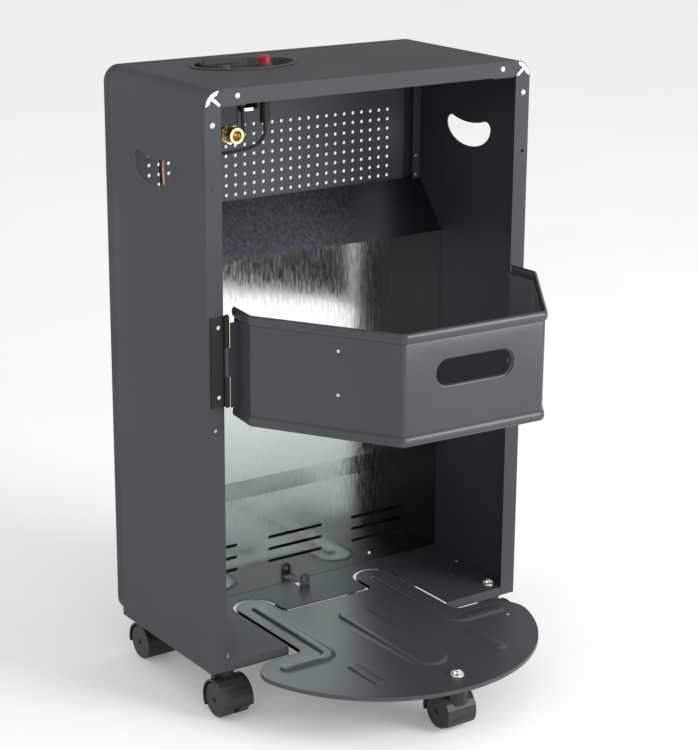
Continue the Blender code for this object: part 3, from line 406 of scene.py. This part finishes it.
def thicken(thing, thickness, offset):
    """Gives a skin its thickness, then shades its rounds."""
    modifier = thing.modifiers.new("thickness", "SOLIDIFY")
    modifier.thickness = thickness
    modifier.offset = offset
    modifier.use_even_offset = True
    thing.modifiers.new("rounds", "NODES").node_group = ROUNDS
    return thing


# ---------------------------------------------------------------- fixings
def facing(position, normal):
    """A placement whose Z axis runs along the normal, from a point in cabinet coordinates."""
    turn = Vector(normal).to_track_quat("Z", "Y").to_matrix().to_4x4()
    return TO_WORLD @ Matrix.Translation(position) @ turn


REARWARD = (0, -1, 0)
UPWARD = (0, 0, 1)
TIP = 0.00001
RIVET_FOOT = 0.0003
RIVET_EDGE = 0.0002
RIVET_STEPS = 5


def rivet(name, position, normal, body, radius=0.0030, rise=0.0016):
    """A domed rivet head."""
    profile = [(radius, -RIVET_FOOT), (radius, RIVET_EDGE)]
    for step in range(1, RIVET_STEPS):
        angle = math.pi / 2 * step / RIVET_STEPS
        profile.append((radius * math.cos(angle), RIVET_EDGE + (rise - RIVET_EDGE) * math.sin(angle)))
    profile.append((TIP, rise))
    head = lathe(profile, facing(position, normal))
    return add_piece(name, settled(head, name), RIVET, body)


NUT_FINGERS = 6
NUT_GAP_REACH = 0.80
NUT_GAP_LIFT = 0.72
NUT_PROFILE = ((0.0075, 0.0), (0.0072, 0.0012), (0.0058, 0.0024), (0.0046, 0.0030), (0.0034, 0.0046))
NUT_RIM_RADIUS = 0.007
STEM_PROFILE = ((0.0036, 0.0), (0.0036, 0.0052), (0.0028, 0.0062), (TIP, 0.0064))


def star_nut(name, position, body):
    """A push-on retaining washer: a dished ring with sprung fingers round a stem's end."""
    place = facing(position, UPWARD)
    steps = NUT_FINGERS * 4
    rows = []
    for radius, height in NUT_PROFILE:
        row = []
        for step in range(steps):
            angle = 2 * math.pi * step / steps
            on_finger = step % 4 in (0, 1)
            reach = radius * (NUT_GAP_REACH if radius < NUT_RIM_RADIUS and not on_finger else 1.0)
            lift = height * (1.0 if on_finger else NUT_GAP_LIFT)
            row.append(place @ Vector((reach * math.cos(angle), reach * math.sin(angle), lift)))
        rows.append(row)
    ring = swept(rows, closed_loops=True)
    thicken(add_piece(name, settled(ring, name, 25), ZINC, body), 0.0004, 1.0)
    stem = lathe(STEM_PROFILE, place, 14)
    add_piece(name + "_stem", settled(stem, name), ZINC, body)


def screw(name, position, normal, body, radius=0.0030):
    """A small pan head screw with a recess."""
    place = facing(position, normal)
    head = lathe([(radius, 0.0), (radius, 0.0006), (radius * 0.86, 0.0013), (radius * 0.5, 0.0017),
                  (radius * 0.30, 0.0018), (radius * 0.12, 0.0008), (TIP, 0.0006)], place, 16)
    return add_piece(name, settled(head, name, 30), RIVET, body)


def plate_from(name, outline, y_front, y_back, material, body, slot):
    """A flat plate facing the rear, from an outline of (x, z) points in cabinet coordinates."""
    rows = [[TO_WORLD @ Vector((x, y, z)) for x, z in outline] for y in (y_back, y_front)]
    work = swept(rows, closed_loops=True)
    bmesh.ops.holes_fill(work, edges=work.edges)
    return add_piece(name, settled(work, name), material, body)


INLAY_CENTRE = (0.193, 0.622)
INLAY_RADIUS = 0.0168
INLAY_WIDTH = 0.0040
INLAY_FACES = (-0.0004, 0.0004)
INLAY_ARM = ((0.1985, 0.6305), (0.1945, 0.6268), (0.1922, 0.6245), (0.1940, 0.6225), (0.1962, 0.6245),
             (0.2010, 0.6280))


def corner_inlay(name, side):
    """The bright corner weld left bare of coating: a crescent round the corner and a short arm."""
    outer = arc(INLAY_CENTRE, INLAY_RADIUS, 4, 86, 10)
    inner = arc(INLAY_CENTRE, INLAY_RADIUS - INLAY_WIDTH, 74, 52, 3)
    inner += INLAY_ARM
    inner += arc(INLAY_CENTRE, INLAY_RADIUS - INLAY_WIDTH, 38, 16, 3)
    outline = [(side * x, z) for x, z in outer + inner]
    plate_from(name, outline, *INLAY_FACES, RIVET, "cabinet", "corner_bracket_left")


SIDES = ((-1, "left"), (1, "right"))
# Positions of the fixings in cabinet coordinates
TOP_RIVET = (0.172, 0.632)
SIDE_RIVET = (0.202, 0.604)
FRAME_RIVET = (0.0034, 0.0018)
REAR_CASTOR = (0.187, 0.018)
FRONT_CASTOR = (0.180, 0.175)
PLATE_CASTOR = (0.0, -0.164)
HINGE_RIVET = (-0.1985, -0.0015)
HINGE_RIVET_HEIGHTS = (("upper", 0.392), ("lower", 0.316))
SHIELD_SCREW = (0.109, 0.1568, 0.020)
FLANGE_EDGES = (0.1985, 0.2093, 0.462, 0.628)
FLANGE_FACES = (0.2002, 0.2012)
FLANGE_RIVET_X = 0.2035
FLANGE_RIVET_HEIGHTS = (("upper", 0.5007), ("lower", 0.4775))
BACKING_EDGES = (-0.1990, -0.1845, 0.305, 0.403)
BACKING_FACES = (0.0015, 0.0025)
BRACKET_EDGES = (-0.0960, -0.0790, 0.5920, 0.5952)
BRACKET_FACES = (0.1186, 0.1198)


def build_fixings():
    """Rivets, nuts, screws and the small flanges that the CAD leaves out."""
    for side, word in SIDES:
        for where, (x, z) in (("top", TOP_RIVET), ("side", SIDE_RIVET)):
            rivet("rivet_" + where + "_" + word, (side * x, 0.0, z), REARWARD, "cabinet", *FRAME_RIVET)
        for where, (x, y) in (("rear", REAR_CASTOR), ("front", FRONT_CASTOR)):
            star_nut("castor_nut_" + where + "_" + word, (side * x, y, FLOOR_TOP), "cabinet")
    star_nut("castor_nut_plate", (*PLATE_CASTOR, FLOOR_TOP), "floor_section")
    for level, z in HINGE_RIVET_HEIGHTS:
        rivet("hinge_rivet_" + level, (*HINGE_RIVET, z), REARWARD, "cabinet", 0.0026, 0.0014)
    rivet("floor_rivet", (0.1986, 0.0954, FLOOR_TOP), UPWARD, "cabinet", 0.0022, 0.0012)
    rivet("plate_dimple", (0.148, -0.067, FLOOR_TOP), UPWARD, "floor_section", 0.0020, 0.0010)
    screw("shield_screw", SHIELD_SCREW, REARWARD, "cabinet")
    for side, word in SIDES:
        flange = rectangle(*FLANGE_EDGES, side)
        plate_from("frame_flange_" + word, flange, *FLANGE_FACES, COAT_PANEL, "cabinet", "front_frame")
        for level, z in FLANGE_RIVET_HEIGHTS:
            spot = (side * FLANGE_RIVET_X, FLANGE_FACES[0], z)
            rivet("frame_rivet_" + level + "_" + word, spot, REARWARD, "cabinet", 0.0020, 0.0014)
    strip = rectangle(*BACKING_EDGES)
    plate_from("hinge_backing", strip, *BACKING_FACES, BLACK_STEEL, "cabinet", "hinge_leaf_fixed")
    for side, word in SIDES:
        corner_inlay("corner_inlay_" + word, side)
    plate_from("bracket_edge", rectangle(*BRACKET_EDGES), *BRACKET_FACES, ZINC, "cabinet", "valve_bracket")


# ---------------------------------------------------------------- perforated panel
HOLE_PITCH = (0.01250, 0.01132)
HOLE_COUNT = (27, 8)
HOLE_LOW = 0.4806
HOLE_RADIUS = 0.0021
HOLE_POINTS = 12
PANEL_HALF_WIDTH = 0.186
PANEL_HEIGHTS = (0.462, 0.628)
PANEL_Y = 0.2032
NEAR = 0.0001


def build_perforated_panel():
    """The vent sheet with its real holes, and the returned rim that stands on the front frame."""
    work = bmesh.new()
    y = PANEL_Y + SHEET / 2
    half_x, half_z = HOLE_PITCH[0] / 2, HOLE_PITCH[1] / 2
    square = []
    corners = ((1, -1), (1, 1), (-1, 1), (-1, -1), (1, -1))
    for start, end in zip(corners, corners[1:]):
        for step in range(3):
            share = step / 3
            square.append((start[0] + (end[0] - start[0]) * share, start[1] + (end[1] - start[1]) * share))
    for column in range(HOLE_COUNT[0]):
        for row in range(HOLE_COUNT[1]):
            x = (column - (HOLE_COUNT[0] - 1) / 2) * HOLE_PITCH[0]
            z = HOLE_LOW + row * HOLE_PITCH[1]
            outer = []
            inner = []
            for across, up in square:
                outer.append(work.verts.new((x + across * half_x, y, z + up * half_z)))
                angle = math.atan2(up, across)
                spot = (x + HOLE_RADIUS * math.cos(angle), y, z + HOLE_RADIUS * math.sin(angle))
                inner.append(work.verts.new(spot))
            for index in range(HOLE_POINTS):
                after = (index + 1) % HOLE_POINTS
                work.faces.new((outer[index], outer[after], inner[after], inner[index]))
    bmesh.ops.remove_doubles(work, verts=work.verts, dist=0.00002)
    field_x = half_x * HOLE_COUNT[0]
    field_low = HOLE_LOW - half_z
    field_high = field_low + HOLE_PITCH[1] * HOLE_COUNT[1]
    boundary = []
    for edge in work.edges:
        if len(edge.link_faces) != 1:
            continue
        middle = (edge.verts[0].co + edge.verts[1].co) / 2
        on_side = abs(abs(middle.x) - field_x) < NEAR
        on_end = min(abs(middle.z - field_low), abs(middle.z - field_high)) < NEAR
        if on_side or on_end:
            boundary.append(edge)
    edge_line = rectangle(-PANEL_HALF_WIDTH, PANEL_HALF_WIDTH, *PANEL_HEIGHTS)
    rim = [work.verts.new((x, y, z)) for x, z in edge_line]
    frame_edges = [work.edges.new((rim[index], rim[(index + 1) % 4])) for index in range(4)]
    bmesh.ops.triangle_fill(work, use_beauty=True, edges=boundary + frame_edges)
    lip = bmesh.ops.extrude_edge_only(work, edges=frame_edges)
    moved = [item for item in lip["geom"] if isinstance(item, bmesh.types.BMVert)]
    reach = CASE_DEPTH - SHEET - GAP - SHEET / 2 - y
    bmesh.ops.translate(work, verts=moved, vec=(0, reach, 0))
    bmesh.ops.transform(work, matrix=TO_WORLD, verts=work.verts)
    sheet = add_piece("vent_sheet", settled(work, "vent_sheet"), COAT_PANEL, "cabinet",
                      ["perforated_panel"])
    thicken(sheet, SHEET, 0.0)


# ---------------------------------------------------------------- shield and floor section
SLOPE_NORMALS = (0.2, 0.98)


def build_shield_slope():
    """The sloped top of the shield gets a darker, rougher copy of the zinc: painted shade for the dark
    interior that it reflects.
    """
    mesh = NODES["burner_shield"].data
    mesh.materials.append(GALVANISED_SHADED)
    for face in mesh.polygons:
        if SLOPE_NORMALS[0] < face.normal.z < SLOPE_NORMALS[1]:
            face.material_index = 1


EAR_X = 0.085
EAR_Y = 0.112
EAR_RADIUS = 0.022
VALLEY_Y = 0.083
LOBE_Y = -0.022
LOBE_RADIUS = 0.035
PLATE_CENTRE_Y = -0.012
PLATE_RADIUS = 0.185
PLATE_FILLET = 0.008
# Half widths of a rib's top and of its foot
WIDE_RIB = (0.0180, 0.0216)
NARROW_RIB = (0.0046, 0.0080)
ELBOW_RADIUS = 0.0145
RIB_RISE = 0.0021
RIB_MARGIN = 0.0016
SKIN_INSET = 0.0007
SKIN_LIFT = 0.00012
SKIN_THICKNESS = 0.0003
SKIN_GRID = 0.0014
SKIN_SPAN = 0.36
SKIN_START = (-0.18, -0.20)
COARSE_STEP = 6
# The rim's section in (inset, height above the underside)
RIM_SECTION = ((0.0, 0.0058), (0.0, 0.0098), (0.0002, 0.0102), (0.0006, 0.0104), (0.0012, 0.0102),
               (0.0012, 0.0058))


def plate_outline(inset):
    """The floor section's outline in plan, a little inside its real edge."""
    neck = PLATE_FILLET + inset
    corner_y = LOBE_Y - LOBE_RADIUS
    corner_x = math.sqrt((PLATE_RADIUS - LOBE_RADIUS) ** 2 - (corner_y - PLATE_CENTRE_Y) ** 2)
    meet = math.degrees(math.atan2(corner_y - PLATE_CENTRE_Y, corner_x))
    half = arc((EAR_X - EAR_RADIUS - PLATE_FILLET, VALLEY_Y + PLATE_FILLET), neck, -90, 0, 4)
    half += arc((EAR_X, EAR_Y), EAR_RADIUS - inset, 180, 0, 16)
    half += arc((EAR_X + EAR_RADIUS + PLATE_FILLET, LOBE_Y + PLATE_FILLET), neck, 180, 270, 4)
    half += arc((corner_x, corner_y), LOBE_RADIUS - inset, 90, meet, 10)
    half += arc((0.0, PLATE_CENTRE_Y), PLATE_RADIUS - inset, meet, -90, 24)[1:-1]
    return half + [(-x, y) for x, y in reversed(half)]


def rib_lines():
    """Centre lines of the pressed ribs, each with the half width of its top and of its foot."""
    lines = [([Vector((0.0, 0.027)), Vector((0.0, -0.112))], *WIDE_RIB)]
    bend = arc((EAR_X + ELBOW_RADIUS, -0.0355), ELBOW_RADIUS, 180, 270, 6)
    elbow = [(EAR_X, 0.105)] + bend + [(0.146, -0.050)]
    short = [(0.083, -0.087), (0.083, -0.133)]
    for side, _ in SIDES:
        for line in (elbow, short):
            lines.append(([Vector((side * x, y)) for x, y in line], *NARROW_RIB))
    return lines


def rib_gap(point, line):
    """Distance from a point to a centre line."""
    nearest = []
    for first, last in zip(line, line[1:]):
        along = last - first
        share = min(max((point - first).dot(along) / along.length_squared, 0.0), 1.0)
        nearest.append((point - first - along * share).length)
    return min(nearest)


def build_plate_skin():
    """The coated top of the floor section, with its ribs pressed to rounded edges."""
    outline = [Vector(point) for point in plate_outline(SKIN_INSET)]
    lines = rib_lines()
    points = list(outline)
    heights = [0.0] * len(outline)
    count = int(SKIN_SPAN / SKIN_GRID)
    for column in range(count):
        for row in range(count):
            spot = Vector((column * SKIN_GRID + SKIN_START[0], row * SKIN_GRID + SKIN_START[1]))
            coarse = column % COARSE_STEP == 0 and row % COARSE_STEP == 0
            height = 0.0
            near = False
            for line, top, foot in lines:
                gap = rib_gap(spot, line)
                near = near or top - RIB_MARGIN < gap < foot + RIB_MARGIN
                share = min(max((foot - gap) / (foot - top), 0.0), 1.0)
                height = max(height, RIB_RISE * share * share * (3 - 2 * share))
            if near or coarse:
                points.append(spot)
                heights.append(height)
    loop = [list(range(len(outline)))]
    spots, _, faces, origins, _, _ = geometry.delaunay_2d_cdt(points, [], loop, 1, 0.00001)
    low = CABINET.z + FLOOR_TOP + SKIN_LIFT
    work = bmesh.new()
    corners = []
    for spot, origin in zip(spots, origins):
        height = heights[origin[0]] if origin else 0.0
        corners.append(work.verts.new((spot.x, spot.y + CABINET.y, low + height)))
    for face in faces:
        work.faces.new([corners[index] for index in face])
    bmesh.ops.delete(work, geom=[vert for vert in work.verts if not vert.link_faces], context="VERTS")
    bmesh.ops.recalc_face_normals(work, faces=work.faces)
    if sum(face.normal.z for face in work.faces) < 0:
        bmesh.ops.reverse_faces(work, faces=work.faces)
    mesh = bpy.data.meshes.new("plate_skin")
    work.to_mesh(mesh)
    work.free()
    mesh.shade_smooth()
    skin = add_piece("plate_skin", mesh, COAT_PLATE, "floor_section")
    thicken(skin, SKIN_THICKNESS, -1.0)
    rows = [[TO_WORLD @ Vector((x, y, z)) for x, y in plate_outline(inset)] for inset, z in RIM_SECTION]
    rim = settled(swept(rows, closed_rows=True, closed_loops=True), "plate_rim", 50)
    add_piece("plate_rim", rim, COAT_PLATE, "floor_section")


# ---------------------------------------------------------------- bottle band
BAND_CENTRE = (0.008, 0.0026)
BAND_TURN = math.radians(-2.0)
BAND_HALF_WIDTHS = (0.180, 0.1835, 0.0885)
BAND_DEPTHS = (0.0, -0.040, -0.182)
BAND_LOW = 0.290
BAND_HIGH = 0.408
BAND_FOLD_RADIUS = 0.006
BAND_FOLD_STEPS = 6
# A bead's section in (offset, distance from the band's edge)
BEAD = ((0.0002, 0.0), (0.0014, 0.0004), (0.0022, 0.0014), (0.0025, 0.0036), (0.0023, 0.0064),
        (0.0016, 0.0080), (0.0003, 0.0091), (-0.0004, 0.0099), (0.0, 0.0110))
GRIP_LENGTH = 0.095
GRIP_HEIGHT = 0.028
GRIP_Z = 0.361
GRIP_REACH = 0.02
LIP_RADIUS = 0.0022
LIP_STEPS = 6
LIP_LENGTH = 0.003
LIP_THICKNESS = 0.0010
BAND_RIVET_SHARE = 0.58
BAND_RIVET_HEIGHTS = (("upper", 0.383), ("lower", 0.336))


def band_path(offset):
    """The band's outline in plan, left end to right end, pushed outwards by offset."""
    corners = [Vector((-half, depth)) for half, depth in zip(BAND_HALF_WIDTHS, BAND_DEPTHS)]
    corners += [Vector((-corner.x, corner.y)) for corner in reversed(corners)]
    points = []
    last = len(corners) - 1
    for index, corner in enumerate(corners):
        before = (corner - corners[index - 1]).normalized() if index else None
        after = (corners[index + 1] - corner).normalized() if index < last else None
        if before is None or after is None:
            along = after or before
            points.append(corner + Vector((along.y, -along.x)) * offset)
            continue
        turn = before.angle(after)
        first = corner - before * (BAND_FOLD_RADIUS * math.tan(turn / 2))
        centre = first + Vector((-before.y, before.x)) * BAND_FOLD_RADIUS
        spoke = Vector((before.y, -before.x)) * (BAND_FOLD_RADIUS + offset)
        for step in range(BAND_FOLD_STEPS + 1):
            points.append(centre + Matrix.Rotation(turn * step / BAND_FOLD_STEPS, 2) @ spoke)
    placed = Matrix.Rotation(BAND_TURN, 2)
    return [placed @ point + Vector(BAND_CENTRE) for point in points]


def bead_profile():
    """(offset, height) pairs up the band: a round bead along each edge and a flat panel between."""
    lower = [(offset, BAND_LOW + height) for offset, height in BEAD]
    upper = [(offset, BAND_HIGH - height) for offset, height in reversed(BEAD)]
    return lower + upper


def cut_grip(band, place):
    """Cuts the grip hole through the band, with room for its lip, and keeps the result as its mesh."""
    outline = stadium((0, 0), GRIP_LENGTH + 2 * LIP_RADIUS, GRIP_HEIGHT + 2 * LIP_RADIUS)
    rows = [[place @ Vector((x, y, z)) for x, z in outline] for y in (-GRIP_REACH, GRIP_REACH)]
    hole = swept(rows, closed_loops=True)
    bmesh.ops.holes_fill(hole, edges=hole.edges)
    cutter = bpy.data.objects.new("grip_cutter", settled(hole, "grip_cutter"))
    bpy.context.scene.collection.objects.link(cutter)
    carve = band.modifiers.new("grip", "BOOLEAN")
    carve.object = cutter
    carve.solver = "EXACT"
    carve.operation = "DIFFERENCE"
    bpy.context.view_layer.update()
    graph = bpy.context.evaluated_depsgraph_get()
    mesh = bpy.data.meshes.new_from_object(band.evaluated_get(graph))
    band.modifiers.clear()
    band.data = mesh
    bpy.data.objects.remove(cutter, do_unlink=True)
    mesh.shade_smooth()
    mesh.set_sharp_from_angle(angle=math.radians(45))


def build_grip_lip(place):
    """The rolled edge of the grip hole."""
    sections = []
    for step in range(LIP_STEPS + 1):
        angle = math.pi / 2 * step / LIP_STEPS
        sections.append((LIP_RADIUS * (1 - math.sin(angle)), LIP_RADIUS * (1 - math.cos(angle))))
    sections.append((0.0, LIP_RADIUS + LIP_LENGTH))
    rows = []
    for growth, depth in sections:
        outline = stadium((0, 0), GRIP_LENGTH + 2 * growth, GRIP_HEIGHT + 2 * growth)
        rows.append([place @ Vector((x, depth, z)) for x, z in outline])
    mesh = settled(swept(rows, closed_loops=True), "grip_lip", 60)
    thicken(add_piece("grip_lip", mesh, COAT_BAND, "retainer"), LIP_THICKNESS, -1.0)


def build_band():
    rows = [[(*point, z) for point in band_path(offset)] for offset, z in bead_profile()]
    work = swept(rows)
    bmesh.ops.transform(work, matrix=TO_WORLD, verts=work.verts)
    band = add_piece("bottle_band", settled(work, "bottle_band", 60), COAT_BAND, "retainer",
                     ["retainer_band"])
    thicken(band, SHEET, 1.0)
    turn = Matrix.Rotation(BAND_TURN, 4, "Z")
    panel = turn @ Vector((0.0, BAND_DEPTHS[2], 0.0)) + Vector((*BAND_CENTRE, GRIP_Z))
    place = TO_WORLD @ Matrix.Translation(panel) @ turn
    cut_grip(band, place)
    build_grip_lip(place)
    corner, fold = (Matrix.Rotation(BAND_TURN, 2) @ Vector((-BAND_HALF_WIDTHS[index], BAND_DEPTHS[index])) +
                    Vector(BAND_CENTRE) for index in (1, 2))
    along = (fold - corner).normalized()
    outward = Vector((along.y, -along.x, 0.0))
    spot = corner.lerp(fold, BAND_RIVET_SHARE)
    for word, z in BAND_RIVET_HEIGHTS:
        rivet("band_rivet_" + word, (spot.x, spot.y, z), outward, "retainer", 0.0026, 0.0016)


# ---------------------------------------------------------------- stage, light, camera
FLOOR_REACH = 40.0
FLOOR_GLOW = 0.16
WORLD_STRENGTH = 1.22
# Where the white surroundings fade: direction, cosine where it starts and ends, share that is left
DIMMED = (((0.56, 0.80, 0.25), 0.55, 0.97, 0.30), ((0.0, 0.0, 1.0), 0.30, 0.90, 0.55))
KEY_POWER = 95.0
KEY_PLACE = (1.7, -2.7, 1.5)
KEY_AIM = (0.0, 0.0, 0.35)
KEY_SIZE = (1.6, 2.2)
LENS = 98.50
SENSOR = 36.0
CAMERA_PLACE = (-1.25834, -1.77668, 1.01790)
CAMERA_AZIMUTH = math.radians(-34.742)
CAMERA_ELEVATION = math.radians(16.827)
CAMERA_ROLL = math.radians(0.402)


def build_stage():
    mesh = bpy.data.meshes.new("floor")
    corners = [(x, y, 0.0) for x, y in rectangle(-FLOOR_REACH, FLOOR_REACH, -FLOOR_REACH, FLOOR_REACH)]
    mesh.from_pydata(corners, [], [(0, 1, 2, 3)])
    floor = bpy.data.objects.new("floor", mesh)
    bpy.context.scene.collection.objects.link(floor)
    made = Shader("pale_floor", (0.88, 0.88, 0.88), 0.75, specular=0.2)
    made.colour(made.blend(made.ramp(made.noise(3.0), 0.0, 1.0), (0.87, 0.87, 0.87), (0.90, 0.90, 0.90)))
    made.surface.inputs["Emission Color"].default_value = (*WHITE, 1.0)
    made.surface.inputs["Emission Strength"].default_value = FLOOR_GLOW
    floor.data.materials.append(made.material)


def area_light(name, position, target, size, power):
    data = bpy.data.lights.new(name, "AREA")
    data.shape = "RECTANGLE"
    data.size, data.size_y = size
    data.energy = power
    made = bpy.data.objects.new(name, data)
    made.location = position
    aim = Vector(target) - Vector(position)
    made.rotation_euler = aim.to_track_quat("-Z", "Y").to_euler()
    bpy.context.scene.collection.objects.link(made)


def build_light():
    """Even white walls, dimmer overhead and behind the heater's front, and one soft key light."""
    world = bpy.data.worlds.new("studio")
    bpy.context.scene.world = world
    world.use_nodes = True
    tree = world.node_tree
    place = tree.nodes.new("ShaderNodeTexCoord").outputs["Generated"]
    strength = None
    for direction, start, end, low in DIMMED:
        dot = tree.nodes.new("ShaderNodeVectorMath")
        dot.operation = "DOT_PRODUCT"
        dot.inputs[1].default_value = direction
        tree.links.new(place, dot.inputs[0])
        ramp = tree.nodes.new("ShaderNodeMapRange")
        ramp.interpolation_type = "SMOOTHSTEP"
        for socket, value in (("From Min", start), ("From Max", end), ("To Min", 1.0), ("To Max", low)):
            ramp.inputs[socket].default_value = value
        tree.links.new(dot.outputs["Value"], ramp.inputs["Value"])
        product = tree.nodes.new("ShaderNodeMath")
        product.operation = "MULTIPLY"
        product.inputs[1].default_value = WORLD_STRENGTH
        tree.links.new(ramp.outputs["Result"], product.inputs[0])
        if strength is not None:
            tree.links.new(strength, product.inputs[1])
        strength = product.outputs[0]
    tree.links.new(strength, tree.nodes["Background"].inputs["Strength"])
    tree.nodes["Background"].inputs["Color"].default_value = (*WHITE, 1.0)
    area_light("key", KEY_PLACE, KEY_AIM, KEY_SIZE, KEY_POWER)


def build_camera():
    data = bpy.data.cameras.new("camera")
    data.lens = LENS
    data.sensor_width = SENSOR
    data.clip_start = 0.05
    data.clip_end = 100.0
    camera = bpy.data.objects.new("camera", data)
    level = math.cos(CAMERA_ELEVATION)
    back = Vector((math.sin(CAMERA_AZIMUTH) * level, -math.cos(CAMERA_AZIMUTH) * level,
                   math.sin(CAMERA_ELEVATION)))
    roll = Matrix.Rotation(CAMERA_ROLL, 3, "Z").to_quaternion()
    camera.rotation_mode = "QUATERNION"
    camera.rotation_quaternion = (-back).to_track_quat("-Z", "Y") @ roll
    camera.location = CAMERA_PLACE
    bpy.context.scene.collection.objects.link(camera)
    bpy.context.scene.camera = camera


soften(NODES["casing"], 0.0008)
soften(NODES["base_plate"], 0.0005)
soften(NODES["burner_shield"], 0.0010, 3, 4)
build_shield_slope()
build_plate_skin()
build_perforated_panel()
build_band()
build_fixings()
build_stage()
build_light()
build_camera()
bpy.context.scene.view_settings.view_transform = "Standard"
